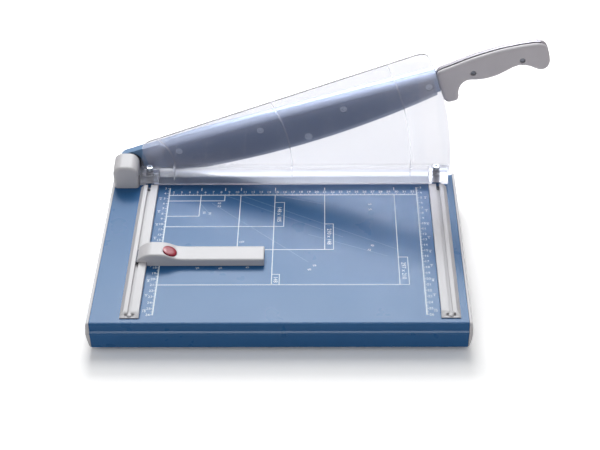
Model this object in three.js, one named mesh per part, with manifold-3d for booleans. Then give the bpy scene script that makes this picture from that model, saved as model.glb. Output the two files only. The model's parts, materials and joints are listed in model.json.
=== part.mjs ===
// A guillotine paper cutter for the desk, in millimetres, +Z up.
// It is laid out from its paper zero: X = 0 at the left paper stop, Y = 0 at the cutting edge with the
// user at -Y, Z = 0 on the table. At the end the group moves so that its origin is the middle of its
// box's bottom. The lever is drawn in its own frame, u along the blade from the pivot and v up.
import * as THREE from "three";
import { mergeVertices } from "three/addons/utils/BufferGeometryUtils.js";
import Module from "manifold-3d";

const wasm = await Module();
wasm.setup();

// Clearances and facets
const gap = 0.3; // between two pieces that touch
const running = 0.4; // round a pin that turns or slides
const overrun = 3; // how far a cutter runs past a face
const screwFacets = 16;
const boltFacets = 24;
const arcFacets = 24;
const softFacets = 4; // steps of a small rounded edge

// Table: one sheet, folded down at the back and the front and in again at the bottom
const cutWidth = 341; // between the two paper stops
const railWidth = 22;
const leftMargin = 34; // table left of the left rail
const rightMargin = 9;
const tableDepth = 272; // from the cutting edge to the front fold
const tableDrop = 36;
const sheet = 1.6;
const lipWidth = 24; // folded in at the bottom
const foldRadius = 3;
const bandDrop = 10.8; // dark band under the front fold
const bandReach = 1.2;
const ledgeReach = 1.8; // the front's raised edge below the band
const ledgeDrop = 2.8;
const ledgeStep = 1; // the sharp step under the raised edge
const tuckDrop = 2.5; // the lower front tucks under at the bottom
const tuckReach = 2;

// End caps of the table
const capThick = 3; // at the table's top
const capBulge = 1.2; // further out, at the front's raised edge
const capTuck = 1; // left at the bottom
const tongueReach = 12; // rib of the cap under the table's top
const tongueDepth = 4;
const tongueInset = 34; // of the rib from the table's back and front

// Feet
const footRadius = 8;
const footHeight = 4;
const footStem = 3;
const footBead = 4.2; // snap bead above the lip
const footBeadHeight = 2;
const footInset = 16; // from the table's ends

// Lower blade on the table's back edge, with its screws
const barThick = 4;
const barHeight = 24;
const barScrewCount = 4;
const barScrewInset = 40;
const screwShank = 2;
const screwHead = 4.4;
const screwHeadDepth = 2.2;
const screwRecess = 0.3; // heads lie a little below the face

// Pivot: bracket, bolt, washers and nut; it lies left of the paper zero
const pivotLeft = 36.5;
const pivotHeight = 17.5;
const bracketRadius = 16;
const bracketDrop = 30;
const boltRadius = 5;
const boltHead = 7.5;
const boltHeadDepth = 6;
const washerRadius = 12;
const washerThick = 0.7;
const springWasherRadius = 10;
const springWasherThick = 1.6;
const nutSides = 6;
const nutRadius = 8.5;
const nutThick = 6;
const boltTail = 2; // thread past the nut

// Pivot cover
const coverWidth = 31.2; // from the table's left end
const coverDepth = 24.7;
const coverBackHeight = 36.5;
const coverFrontHeight = 31.5;
const coverFrontRound = 3.2;
const coverCorner = 12;
const coverWall = 2.4;

// Lever: arm, blade and tang
const raise = 17; // degrees, as it stands
const hubRadius = 15;
const hubBlend = 100; // u where the arm has its full height
const armTop = 20;
const armFoot = 12; // the arm's lower edge below the pivot's line
const armEnd = 402.6;
const armBack = 11.5; // Y of the arm's back face
const armRound = 9.5; // its large rounded top edge
const bladeThick = 3;
const bladeStart = 44.3;
const bladeEnd = 398;
const bladeTop = 9.6;
const edgeRadius = 1050; // of the curved cutting edge
const edgeDeepest = 178; // u of its lowest point
const edgeDepth = 36.7; // below the pivot's line there
const heelHeight = 5; // rounded corner of the blade by the pivot
const heelRun = 4;
const edgeBevel = 3.6;
const bladeScrewCount = 4;
const bladeScrewFirst = 65.6;
const bladeScrewPitch = 108.4;
const eyeletAlong = 229; // dished eyelet near the cutting edge
const eyeletDrop = 26.4;
const eyeletRadius = 4.6;
const eyeletHole = 2.2;
const eyeletDepth = 1.6;
const tangThick = 3;
const tangFront = 7;
const tangProud = 0.3; // its edge shows as a seam along the handle's top
const tangFoot = 3;

// Handle: two halves round the tang
const handleStart = 403.5;
const handleLength = 136;
const handleDepth = 55;
const handleHalf = 5.8;
const handleRound = 3.2; // its outer edges roll off by this much
const handleRoundDepth = 4.4; // over this depth
const handleScrewHead = 3.2;
const handleScrewRecess = 1.8;
const handleScrewShank = 1.9;
const handleScrewShares = [0.315, 0.757]; // of the handle's length
const handleScrewRise = 2.6;
const handleNutThick = 2.6;

// Along the top of the handle from the blade to the pommel, as shares of its length and depth
const handleTopShares = [
  [0.0, 0.264], [0.026, 0.287], [0.055, 0.315], [0.151, 0.345], [0.283, 0.393], [0.415, 0.424],
  [0.6, 0.44], [0.768, 0.416], [0.893, 0.376], [0.952, 0.327],
];
// Round the pommel, back along the grip and round the finger stop
const handleLowShares = [
  [0.989, 0.236], [1.0, 0.109], [0.999, -0.018], [0.991, -0.173], [0.967, -0.282], [0.926, -0.333],
  [0.882, -0.318], [0.842, -0.245], [0.801, -0.158], [0.75, -0.095], [0.688, -0.08], [0.614, -0.127],
  [0.518, -0.187], [0.426, -0.202], [0.338, -0.175], [0.268, -0.124], [0.217, -0.142], [0.173, -0.236],
  [0.146, -0.355], [0.138, -0.473], [0.118, -0.56], [0.088, -0.573], [0.026, -0.56], [0.002, -0.482],
  [-0.007, -0.336],
];

// Clear guard with its clamp foot
const guardThick = 2.6;
const guardSlope = 20.8; // degrees, of its top edge
const guardTop = 26.7; // of that edge from the pivot, square to it
const guardReach = 405; // radius of its right edge about the pivot
const guardCorner = 12; // run of its rounded top right corner
const guardKnee = 10; // and of its top left one
const guardLean = 5; // of its left edge
const guardLeanStart = 18;
const guardLeft = 23.5; // left of the paper zero
const ribRadii = [57, 205.5, 355];
const ribWide = 1.1;
const ribProud = 0.8;
const ribFinPly = 1.6; // small fin under each rib
const ribFinHeight = 9;
const ribFinReach = 6;
const clampLift = 4.6; // of the foot above the table, with the clamp up
const footFront = 28.5; // of the clamp foot, from the cutting edge
const footPlate = 2.4;
const footFillet = 10;
const footRight = 24; // foot past the right paper stop

// Guide posts at the clamp's ends: block, bolt, spring, nut
const blockWidth = 24;
const blockBase = 4.6; // its low front step
const blockHeight = 14;
const blockSlopeRun = 7;
const postInsets = [11, 9.4]; // of the bolts outside the left and the right paper stop
const postBack = 15; // of the bolt from the cutting edge
const postRadius = 2.2;
const postHead = 4.2;
const postHeadHeight = 4.5;
const postSocket = 2;
const postSocketDepth = 2.4;
const postTail = 9; // below the table
const postNut = 4.4;
const postNutThick = 3;
const wellRadius = 4.7;
const wellRoof = 3;
const slotWidth = 11;
const slotHeight = 2.6;

// Clamp springs
const wireRadius = 0.5;
const coilRadius = 3.3;
const coilCurls = 6;
const coilSteps = 8; // per curl
const wireSides = 5;
const leastCoilGap = 0.4;

// Rails
const railHeight = 5.6;
const railLength = 237;
const railFlank = 4.4; // run of the bevel on the outer side
const railFlankFoot = 1;
const railCentre = 11; // of the groove from the paper stop
const grooveWidth = 4;
const grooveHall = 10.8; // wide part under the groove
const grooveLip = 1.7;
const railFloor = 1.2;
const railEndRun = 7.5; // bevelled front end
const railEndFoot = 1;
const railScrewInset = 4.2;
const railScrewHead = 3;
const railScrewHeadHeight = 1.4;
const railScrewShank = 1.4;
const railScrewTail = 6;

// Backstop, its shoe, button and spring
const stopLength = 138.5; // from the left paper stop
const stopDepth = 25;
const stopPlace = 152; // of its back face from the cutting edge
const stopHeight = 10;
const stopBevel = 1;
const humpHeight = 17.2;
const tongueLeft = 13.2; // its tongue over the rail, from the paper stop
const tongueEdge = 8.6; // height of the tongue's edge
const humpShoulder = 14.6;
const humpShoulderAt = 4;
const humpFlatStart = 3;
const humpFlatEnd = 18;
const humpBend = 24;
const humpBendHeight = 15.6;
const slopeEnd = 36;
const slopeEndHeight = 10.8;
const shoeLength = 22;
const shoeWidth = 9.2;
const shoeNeck = 3.2;
const shoeHeight = 1.9;
const buttonAt = 27.5;
const buttonBehind = 15; // of its axis from the backstop's back face
const buttonRadius = 7.9;
const buttonFloor = 2.4;
const buttonProud = 1.8;
const buttonFoot = 6;
const buttonSpringOuter = 3.4;
const buttonSpringInner = 2.4;

// Places worked out from the sizes
const tableLeft = -railWidth - leftMargin;
const tableRight = cutWidth + railWidth + rightMargin;
const flangeY = -barThick - gap; // outer face of the table's back fold
const guardBack = -barThick - running;
const guardFront = guardBack - guardThick;
const pivotX = -pivotLeft;
const bladeFront = gap;
const bladeBack = bladeFront + bladeThick;
const postX = [-postInsets[0], cutWidth + postInsets[1]];
const railBack = -footFront - gap * 2;
const railFront = railBack - railLength;
const stopMiddle = -stopPlace - stopDepth / 2;
const buttonY = -stopPlace - buttonBehind;

// Materials
function finish(color, roughness, metalness) {
  return new THREE.MeshStandardMaterial({ color, roughness, metalness });
}
const bluePaint = finish(0x4f79ae, 0.35, 0.1);
const greyPlastic = finish(0xd9d8dc, 0.5, 0);
const handlePlastic = finish(0x97949c, 0.45, 0);
const bladeSteel = finish(0x5f6b84, 0.28, 0.9);
const brightSteel = finish(0xb4b8be, 0.3, 0.9);
const darkSteel = finish(0x34373d, 0.4, 0.8);
const clearPlastic = finish(0xeef2fb, 0.08, 0);
const redPlastic = finish(0xb8324c, 0.3, 0);
const rubber = finish(0x26272a, 0.9, 0);

// Solids

// A closed mesh as a solid to cut or join.
function solid(geometry) {
  const bare = geometry.clone();
  bare.deleteAttribute("normal");
  bare.deleteAttribute("uv");
  const merged = mergeVertices(bare);
  return new wasm.Manifold(
    new wasm.Mesh({
      numProp: 3,
      vertProperties: new Float32Array(merged.attributes.position.array),
      triVerts: new Uint32Array(merged.index.array),
    }),
  );
}

function geometryOf(body) {
  const mesh = body.getMesh();
  const geometry = new THREE.BufferGeometry();
  geometry.setAttribute("position", new THREE.BufferAttribute(mesh.vertProperties, 3));
  geometry.setIndex(new THREE.BufferAttribute(mesh.triVerts, 1));
  geometry.computeVertexNormals();
  return geometry;
}

function cut(geometry, tools) {
  return geometryOf(tools.reduce((body, tool) => body.subtract(solid(tool)), solid(geometry)));
}

function join(geometries) {
  const [first, ...rest] = geometries.map(solid);
  return geometryOf(rest.reduce((body, other) => body.add(other), first));
}

function common(first, second) {
  return geometryOf(solid(first).intersect(solid(second)));
}

// Extrudes an outline; the columns say where the outline's two axes and its depth point.
function extruded(points, depth, across, up, along, start) {
  const shape = new THREE.Shape(points.map(([a, b]) => new THREE.Vector2(a, b)));
  const geometry = new THREE.ExtrudeGeometry(shape, { depth, bevelEnabled: false });
  const matrix = new THREE.Matrix4().makeBasis(across, up, along);
  matrix.setPosition(start);
  return geometry.applyMatrix4(matrix);
}

const axisX = new THREE.Vector3(1, 0, 0);
const axisY = new THREE.Vector3(0, 1, 0);
const axisZ = new THREE.Vector3(0, 0, 1);
const axisBack = new THREE.Vector3(0, -1, 0);

// An outline in Y and Z, from x0 to x1
function alongX(points, x0, x1) {
  return extruded(points, x1 - x0, axisY, axisZ, axisX, new THREE.Vector3(x0, 0, 0));
}

// An outline in X and Z, from y0 to y1
function alongY(points, y0, y1) {
  return extruded(points, y1 - y0, axisX, axisZ, axisBack, new THREE.Vector3(0, y1, 0));
}

// An outline in X and Y, from z0 to z1
function alongZ(points, z0, z1) {
  return extruded(points, z1 - z0, axisX, axisY, axisZ, new THREE.Vector3(0, 0, z0));
}

function block([x0, x1], [y0, y1], [z0, z1]) {
  const geometry = new THREE.BoxGeometry(x1 - x0, y1 - y0, z1 - z0);
  return geometry.translate((x0 + x1) / 2, (y0 + y1) / 2, (z0 + z1) / 2);
}

// A turned piece about the Z axis; its profile lists radius and height from the axis to the axis.
function turned(profile, facets) {
  const points = profile.map(([r, h]) => new THREE.Vector2(r, h));
  return new THREE.LatheGeometry(points, facets).rotateX(Math.PI / 2);
}

// The same, standing along +Y instead
function turnedAlongY(profile, facets) {
  return turned(profile, facets).rotateX(-Math.PI / 2);
}

function rod(radius, from, to) {
  return [[0, from], [radius, from], [radius, to], [0, to]];
}

function ring(inner, outer, from, to) {
  return [[inner, from], [outer, from], [outer, to], [inner, to], [inner, from]];
}

function degrees(angle) {
  return THREE.MathUtils.degToRad(angle);
}

// Points of an arc about a centre, with its angles in degrees
function arc(cx, cy, radius, from, to, steps) {
  return Array.from({ length: steps + 1 }, (_, i) => {
    const angle = degrees(from + ((to - from) * i) / steps);
    return [cx + radius * Math.cos(angle), cy + radius * Math.sin(angle)];
  });
}

// A band of even thickness on the left side of an open line
function ribbon(line, thickness) {
  const normals = line.slice(1).map(([x, y], i) => {
    const run = new THREE.Vector2(x - line[i][0], y - line[i][1]).normalize();
    return new THREE.Vector2(-run.y, run.x);
  });
  const inner = line.map(([x, y], i) => {
    const before = normals[Math.max(i - 1, 0)];
    const after = normals[Math.min(i, normals.length - 1)];
    const scale = thickness / (1 + before.dot(after));
    return [x + (before.x + after.x) * scale, y + (before.y + after.y) * scale];
  });
  return [...line, ...inner.reverse()];
}

// The group
const cutter = new THREE.Group();
const lever = new THREE.Group();
lever.position.set(pivotX, 0, pivotHeight);
lever.rotation.y = -degrees(raise);
cutter.add(lever);

function piece(name, geometry, material, parent = cutter) {
  const mesh = new THREE.Mesh(geometry, material);
  mesh.name = name;
  parent.add(mesh);
  return mesh;
}

// Profile of a countersunk screw whose head faces -Z before it is placed. With slack it is the hole
// for it, which runs past both ends.
function countersunk(length, slack) {
  const past = slack > 0 ? overrun : 0;
  const head = screwHead + slack;
  const shank = screwShank + slack;
  return [
    [0, -past],
    [head, -past],
    [head, slack],
    [shank, screwHeadDepth + slack],
    [shank, length + past],
    [0, length + past],
  ];
}

// Table and ends

// The table's outer face in Y and Z, from the top's back edge round the front to the bottom fold
function tableFace(backY) {
  const ledgeTop = -bandDrop;
  const ledgeLow = ledgeTop - ledgeDrop;
  const bandY = -tableDepth - foldRadius - bandReach;
  const ledgeY = bandY - ledgeReach;
  return [
    [backY, 0],
    ...arc(-tableDepth, -foldRadius, foldRadius, 90, 180, softFacets),
    [bandY, ledgeTop],
    [ledgeY, ledgeLow],
    [ledgeY + ledgeStep, ledgeLow - ledgeStep],
    [ledgeY + ledgeStep, -tableDrop + tuckDrop],
    [ledgeY + ledgeStep + tuckReach, -tableDrop],
  ];
}

const feet = [tableLeft + footInset, tableRight - footInset].flatMap((x) => {
  const inset = lipWidth / 2;
  return [flangeY - inset, tableFace(0).at(-1)[0] + inset].map((y) => ({ x, y }));
});
const barScrews = Array.from({ length: barScrewCount }, (_, i) => {
  const from = barScrewInset - railWidth;
  const to = tableRight - barScrewInset;
  return { x: from + ((to - from) * i) / (barScrewCount - 1), z: -barHeight / 2 };
});
const bracketScrews = [-1, 1].map((side) => ({
  x: pivotX + (side * bracketRadius) / 2,
  z: -bracketDrop + screwHead * 2,
}));
const railScrews = [-railCentre, cutWidth + railCentre].flatMap((x) =>
  [railBack - railScrewInset, railFront + railScrewInset].map((y) => ({ x, y })),
);
const guidePosts = postX.map((x) => ({ x, y: -postBack }));

function makeTable() {
  const face = tableFace(flangeY);
  const frontLow = face.at(-1);
  const line = [
    [flangeY - lipWidth, -tableDrop],
    [flangeY, -tableDrop],
    ...face,
    [frontLow[0] + lipWidth, -tableDrop],
  ];
  const upright = (radius, { x, y }, z0, z1) =>
    turned(rod(radius, z0, z1), screwFacets).translate(x, y, 0);
  const level = (radius, { x, z }) =>
    turnedAlongY(rod(radius, flangeY - overrun, flangeY + overrun), screwFacets).translate(x, 0, z);
  const tools = [
    ...feet.map((at) => upright(footStem + gap, at, -tableDrop - overrun, -tableDrop + overrun)),
    ...guidePosts.map((at) => upright(postRadius + gap, at, -overrun, overrun)),
    ...railScrews.map((at) => upright(railScrewShank + gap, at, -overrun, overrun)),
    ...[...barScrews, ...bracketScrews].map((at) => level(screwShank + gap, at)),
  ];
  piece("table_top", cut(alongX(ribbon(line, sheet), tableLeft, tableRight), tools), bluePaint);
}

// The cap's outer face in X and Z bulges out to the height of the front's raised edge.
function makeEndCap(name, innerX, side) {
  const widest = -bandDrop - ledgeDrop;
  const across = (out) => innerX + side * out;
  const bulge = (share) => capThick + capBulge * Math.sin((share * Math.PI) / 2);
  const upper = Array.from({ length: softFacets + 1 }, (_, i) => {
    const share = i / softFacets;
    return [across(bulge(share)), widest * share];
  });
  const lower = Array.from({ length: softFacets }, (_, i) => {
    const share = (i + 1) / softFacets;
    const out = capTuck + (capThick + capBulge - capTuck) * Math.cos((share * Math.PI) / 2);
    return [across(out), widest + (-tableDrop - widest) * share];
  });
  const profile = [[across(0), 0], ...upper, ...lower, [across(0), -tableDrop]];
  const outline = [[0, -tableDrop], ...tableFace(0)];
  const reach = capThick + capBulge + overrun;
  const ends = [across(-overrun), across(reach)].sort((a, b) => a - b);
  const frontY = tableFace(0).reduce((least, [y]) => Math.min(least, y), 0);
  const plate = common(alongX(outline, ...ends), alongY(profile, frontY - overrun, overrun));
  const tongueX = [across(-tongueReach), across(gap)].sort((a, b) => a - b);
  const tongueTop = -sheet - gap;
  const tongueY = [-tableDepth + tongueInset, -tongueInset];
  const tongue = block(tongueX, tongueY, [tongueTop - tongueDepth, tongueTop]);
  piece(name, join([plate, tongue]), greyPlastic);
}

function makeFeet() {
  const stemTop = footHeight + gap + sheet + gap;
  const profile = [
    [0, 0],
    [footRadius - footHeight / 4, 0],
    [footRadius, footHeight / 4],
    [footRadius, footHeight],
    [footStem, footHeight],
    [footStem, stemTop],
    [footBead, stemTop],
    [footStem, stemTop + footBeadHeight],
    [0, stemTop + footBeadHeight],
  ];
  const names = ["foot_back_left", "foot_front_left", "foot_back_right", "foot_front_right"];
  feet.forEach(({ x, y }, i) => {
    const foot = piece(names[i], turned(profile, boltFacets), rubber);
    foot.position.set(x, y, -tableDrop - gap - footHeight);
  });
}

// Lower blade and pivot

// A countersunk screw from the back face at Y = 0 into the table's back fold, or the hole for it
function backScrew(slack) {
  const length = barThick + gap + sheet + overrun;
  const profile = countersunk(length, slack);
  return turned(profile, screwFacets).rotateX(Math.PI / 2).translate(0, -screwRecess, 0);
}

function makeLowerBlade() {
  const bar = block([-pivotLeft + bracketRadius + gap, tableRight], [-barThick, 0], [-barHeight, 0]);
  const holes = barScrews.map(({ x, z }) => backScrew(gap).translate(x, 0, z));
  piece("lower_blade", cut(bar, holes), bladeSteel);
  barScrews.forEach(({ x, z }, i) => {
    piece(`lower_blade_screw_${i + 1}`, backScrew(0), brightSteel).position.set(x, 0, z);
  });
}

function makePivot() {
  const left = pivotX - bracketRadius;
  const right = pivotX + bracketRadius;
  const outline = [
    [left, -bracketDrop],
    [right, -bracketDrop],
    ...arc(pivotX, pivotHeight, bracketRadius, 0, 180, arcFacets),
  ];
  const bore = turnedAlongY(rod(boltRadius + gap, -barThick - overrun, overrun), boltFacets);
  const holes = bracketScrews.map(({ x, z }) => backScrew(gap).translate(x, 0, z));
  const tools = [bore.translate(pivotX, 0, pivotHeight), ...holes];
  piece("pivot_bracket", cut(alongY(outline, -barThick, 0), tools), darkSteel);
  bracketScrews.forEach(({ x, z }, i) => {
    piece(`bracket_screw_${i + 1}`, backScrew(0), brightSteel).position.set(x, 0, z);
  });

  const headBack = flangeY;
  const nutFront = armBack + gap * 2 + springWasherThick;
  const boltEnd = nutFront + nutThick + boltTail;
  const boltProfile = [
    [0, headBack - boltHeadDepth],
    [boltHead, headBack - boltHeadDepth],
    [boltHead, headBack],
    [boltRadius, headBack],
    [boltRadius, boltEnd],
    [0, boltEnd],
  ];
  const bored = boltRadius + gap;
  const washer = ring(bored, washerRadius, gap, gap + washerThick);
  const springFrom = armBack + gap;
  const springWasher = ring(bored, springWasherRadius, springFrom, springFrom + springWasherThick);
  const nut = turnedAlongY(rod(nutRadius, nutFront, nutFront + nutThick), nutSides);
  const nutBore = turnedAlongY(rod(bored, nutFront - overrun, boltEnd + overrun), boltFacets);
  const place = (mesh) => mesh.position.set(pivotX, 0, pivotHeight);
  place(piece("pivot_bolt", turnedAlongY(boltProfile, boltFacets), brightSteel));
  place(piece("pivot_washer", turnedAlongY(washer, boltFacets), brightSteel));
  place(piece("pivot_spring_washer", turnedAlongY(springWasher, boltFacets), darkSteel));
  place(piece("pivot_nut", cut(nut, [nutBore]), brightSteel));
}

// An arch in X and Z: straight sides and two rounded top corners
function arch(x0, x1, z0, top, corner) {
  return [
    [x0, z0],
    [x1, z0],
    ...arc(x1 - corner, top - corner, corner, 0, 90, arcFacets / 4),
    ...arc(x0 + corner, top - corner, corner, 90, 180, arcFacets / 4),
  ];
}

function makeCover() {
  const x0 = tableLeft;
  const x1 = x0 + coverWidth;
  const y1 = flangeY - gap / 2;
  const y0 = y1 - coverDepth;
  const side = [
    [y0, 0],
    [y1 + overrun, 0],
    [y1 + overrun, coverBackHeight + overrun],
    [y1, coverBackHeight],
    [y0 + coverFrontRound * 2, coverFrontHeight + coverFrontRound / 4],
    [y0 + coverFrontRound, coverFrontHeight - coverFrontRound / 4],
    [y0 + coverFrontRound / 4, coverFrontHeight - coverFrontRound],
    [y0, coverFrontHeight - coverFrontRound * 2],
  ];
  const outer = common(
    alongY(arch(x0, x1, gap, coverBackHeight, coverCorner), y0, y1),
    alongX(side, x0 - overrun, x1 + overrun),
  );
  const innerTop = coverFrontHeight - coverWall * 2;
  const room = arch(x0 + coverWall, x1 - coverWall, -overrun, innerTop, coverCorner - coverWall);
  piece("pivot_cover", cut(outer, [alongY(room, y0 + coverWall, y1 + overrun)]), greyPlastic);
}

// Lever

// Height of the curved cutting edge at a distance from the pivot
function edgeAt(u) {
  const run = u - edgeDeepest;
  return -edgeDepth + edgeRadius - Math.sqrt(edgeRadius ** 2 - run ** 2);
}

function handlePoint([along, rise]) {
  return [handleStart + along * handleLength, rise * handleDepth];
}

function bladeScrewPlaces() {
  return Array.from({ length: bladeScrewCount }, (_, i) => bladeScrewFirst + bladeScrewPitch * i);
}

function handleScrewPlaces() {
  return handleScrewShares.map((share) => handleStart + share * handleLength);
}

// A countersunk screw from the blade's front face back into the arm, or the hole for it
function bladeScrew(slack) {
  const profile = countersunk(armBack - bladeFront - gap * 2, slack);
  return turned(profile, screwFacets).rotateX(-Math.PI / 2).translate(0, bladeFront + screwRecess, 0);
}

function makeArm() {
  const behind = bladeBack + gap;
  const hubFront = gap * 2 + washerThick;
  const hubLow = arc(0, 0, hubRadius, 90, 262, arcFacets);
  const heel = [bladeStart, edgeAt(bladeStart) + heelHeight];
  const side = [
    ...hubLow,
    heel,
    [bladeStart + armFoot, -armFoot - heelRun],
    [armEnd, -armFoot],
    [armEnd, armTop],
    [hubBlend, armTop],
  ];
  const roundTop = arc(bladeFront + armRound, armTop - armRound, armRound, 90, 180, softFacets * 2);
  const section = [
    [armBack, -edgeDepth - overrun],
    [armBack, armTop],
    ...roundTop,
    [bladeFront, bladeTop + gap],
    [behind, bladeTop + gap],
    [behind, -edgeDepth - overrun],
  ];
  const hubSection = [
    [armBack, -edgeDepth - overrun],
    [armBack, armTop],
    ...roundTop.filter(([y]) => y > hubFront),
    [hubFront, bladeTop],
    [hubFront, -edgeDepth - overrun],
  ];
  const whole = alongY(side, bladeFront - overrun, armBack);
  const beam = common(whole, alongX(section, bladeStart - gap, armEnd));
  const hub = common(whole, alongX(hubSection, -hubRadius - overrun, bladeStart - gap));

  const tangBack = tangFront + tangThick;
  const top = handleTopShares.map(handlePoint).map(([u, v]) => [u, v + tangProud]);
  const tangOutline = [
    [armEnd - armFoot, -tangFoot],
    [handleStart + handleLength - armFoot, -tangFoot],
    ...top.reverse(),
    [armEnd - armFoot, top.at(-1)[1]],
  ];
  const tang = alongY(tangOutline, tangFront, tangBack);

  const bore = turnedAlongY(rod(boltRadius + running, -overrun, armBack + overrun), boltFacets);
  const screwHoles = bladeScrewPlaces().map((u) => bladeScrew(gap).translate(u, 0, 0));
  const handleHoles = handleScrewPlaces().map((u) =>
    turnedAlongY(rod(handleScrewShank + gap, 0, armBack + overrun), screwFacets)
      .translate(u, 0, handleScrewRise));
  const body = join([beam, hub, tang]);
  piece("blade_arm", cut(body, [bore, ...screwHoles, ...handleHoles]), bluePaint, lever);
}

// Joins two outlines of as many points, one on the front face and one on the back face.
function lofted(front, back, y0, y1) {
  const count = front.length;
  const flat = [...front.map(([u, v]) => [u, y0, v]), ...back.map(([u, v]) => [u, y1, v])];
  const faces = THREE.ShapeUtils.triangulateShape(front.map(([u, v]) => new THREE.Vector2(u, v)), []);
  const index = [];
  faces.forEach(([a, b, c]) => index.push(a, b, c, c + count, b + count, a + count));
  front.forEach((_, i) => {
    const next = (i + 1) % count;
    index.push(i, i + count, next, next, i + count, next + count);
  });
  const geometry = new THREE.BufferGeometry();
  geometry.setAttribute("position", new THREE.Float32BufferAttribute(flat.flat(), 3));
  geometry.setIndex(index);
  geometry.computeVertexNormals();
  return geometry;
}

function makeBlade() {
  const first = bladeStart + heelRun;
  const edge = Array.from({ length: arcFacets + 1 }, (_, i) => {
    const u = first + ((bladeEnd - first) * i) / arcFacets;
    return [u, edgeAt(u)];
  });
  const rest = [[bladeEnd, bladeTop], [bladeStart, bladeTop], [bladeStart, edgeAt(first) + heelHeight]];
  const front = [...edge, ...rest];
  const back = [...edge.map(([u, v]) => [u, v + edgeBevel]), ...rest.slice(0, -1),
    [bladeStart, rest.at(-1)[1] + edgeBevel]];
  const holes = bladeScrewPlaces().map((u) => bladeScrew(gap).translate(u, 0, 0));
  const dish = [
    [0, -overrun],
    [eyeletRadius, -overrun],
    [eyeletRadius, 0],
    [eyeletHole, eyeletDepth],
    [eyeletHole, bladeThick + overrun],
    [0, bladeThick + overrun],
  ];
  const eyelet = turned(dish, screwFacets).rotateX(-Math.PI / 2)
    .translate(eyeletAlong, bladeFront, -eyeletDrop);
  const blade = cut(lofted(front, back, bladeFront, bladeBack), [...holes, eyelet]);
  piece("upper_blade", blade, bladeSteel, lever);
  bladeScrewPlaces().forEach((u, i) => {
    piece(`blade_screw_${i + 1}`, bladeScrew(0), brightSteel, lever).position.set(u, 0, 0);
  });
}

// Half of the handle: its outer face has a rounded edge, its inner face is flat against the tang.
function handleShell(innerY, side) {
  const points = [...handleTopShares, ...handleLowShares].map(handlePoint).reverse();
  const shape = new THREE.Shape(points.map(([u, v]) => new THREE.Vector2(u, v)));
  const full = new THREE.ExtrudeGeometry(shape, {
    depth: (handleHalf - handleRoundDepth) * 2,
    bevelThickness: handleRoundDepth,
    bevelSize: handleRound,
    bevelOffset: -handleRound,
    bevelSegments: softFacets - 1,
  });
  full.rotateX(Math.PI / 2).translate(0, innerY + handleHalf - handleRoundDepth, 0);
  const far = handleHalf * 2;
  const depth = [innerY, innerY - side * far].sort((a, b) => a - b);
  const away = block([0, handleStart + handleLength + far], depth, [-handleDepth, handleDepth]);
  return cut(full, [away]);
}

function makeHandle() {
  const frontInner = tangFront - gap;
  const rearInner = tangFront + tangThick + gap;
  const frontFace = frontInner - handleHalf;
  const rearFace = rearInner + handleHalf;
  const bore = (radius, y0, y1) => (u) =>
    turnedAlongY(rod(radius, y0, y1), screwFacets).translate(u, 0, handleScrewRise);
  const places = handleScrewPlaces();
  const through = places.map(bore(handleScrewShank + gap, frontFace - overrun, rearFace + overrun));
  const headSeat = frontFace + handleScrewRecess * 2;
  const nutSeat = rearFace - handleScrewRecess - handleNutThick;
  const headWells = places.map(bore(handleScrewHead + gap, frontFace - overrun, headSeat));
  const nutWells = places.map(bore(handleScrewHead + gap, nutSeat, rearFace + overrun));
  const front = cut(handleShell(frontInner, -1), [...through, ...headWells]);
  const rear = cut(handleShell(rearInner, 1), [...through, ...nutWells]);
  piece("handle_front", front, handlePlastic, lever);
  piece("handle_rear", rear, handlePlastic, lever);
  const headTop = frontFace + handleScrewRecess;
  const headFoot = headSeat - gap;
  const nutFoot = nutSeat + gap;
  const screw = [
    [0, headTop],
    [handleScrewHead, headTop],
    [handleScrewHead, headFoot],
    [handleScrewShank, headFoot],
    [handleScrewShank, nutFoot + handleNutThick],
    [0, nutFoot + handleNutThick],
  ];
  const nut = ring(handleScrewShank + gap, handleScrewHead, nutFoot, nutFoot + handleNutThick);
  places.forEach((u, i) => {
    const screwMesh = piece(`handle_screw_${i + 1}`, turnedAlongY(screw, screwFacets), darkSteel, lever);
    const nutMesh = piece(`handle_nut_${i + 1}`, turnedAlongY(nut, screwFacets), brightSteel, lever);
    screwMesh.position.set(u, 0, handleScrewRise);
    nutMesh.position.set(u, 0, handleScrewRise);
  });
}

// Guard and clamp

// Height of the guard's sloping top edge above the table
function guardTopAt(x) {
  const slope = degrees(guardSlope);
  return pivotHeight + guardTop / Math.cos(slope) + (x - pivotX) * Math.tan(slope);
}

// A soft corner from one point to another, drawn towards the sharp corner between them
function rounding(from, corner, to) {
  const [a, b, c] = [from, corner, to].map(([x, z]) => new THREE.Vector2(x, z));
  return new THREE.QuadraticBezierCurve(a, b, c).getPoints(softFacets).map(({ x, y }) => [x, y]);
}

function guardOutline() {
  const lowAngle = -THREE.MathUtils.radToDeg(Math.asin((pivotHeight - clampLift) / guardReach));
  const tipAngle = guardSlope + THREE.MathUtils.radToDeg(Math.asin(guardTop / guardReach));
  const endAngle = tipAngle - THREE.MathUtils.radToDeg(guardCorner / guardReach);
  const edge = arc(pivotX, pivotHeight, guardReach, lowAngle, endAngle, arcFacets);
  const tipX = pivotX + guardReach * Math.cos(degrees(tipAngle));
  const leanX = -guardLeft + guardLean;
  const onTop = (x) => [x, guardTopAt(x)];
  return [
    [-guardLeft, clampLift],
    ...edge,
    ...rounding(edge.at(-1), onTop(tipX), onTop(tipX - guardCorner)).slice(1),
    ...rounding(onTop(leanX + guardKnee), onTop(leanX), [leanX, guardTopAt(leanX) - guardKnee]),
    [-guardLeft, guardLeanStart],
  ];
}

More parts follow.
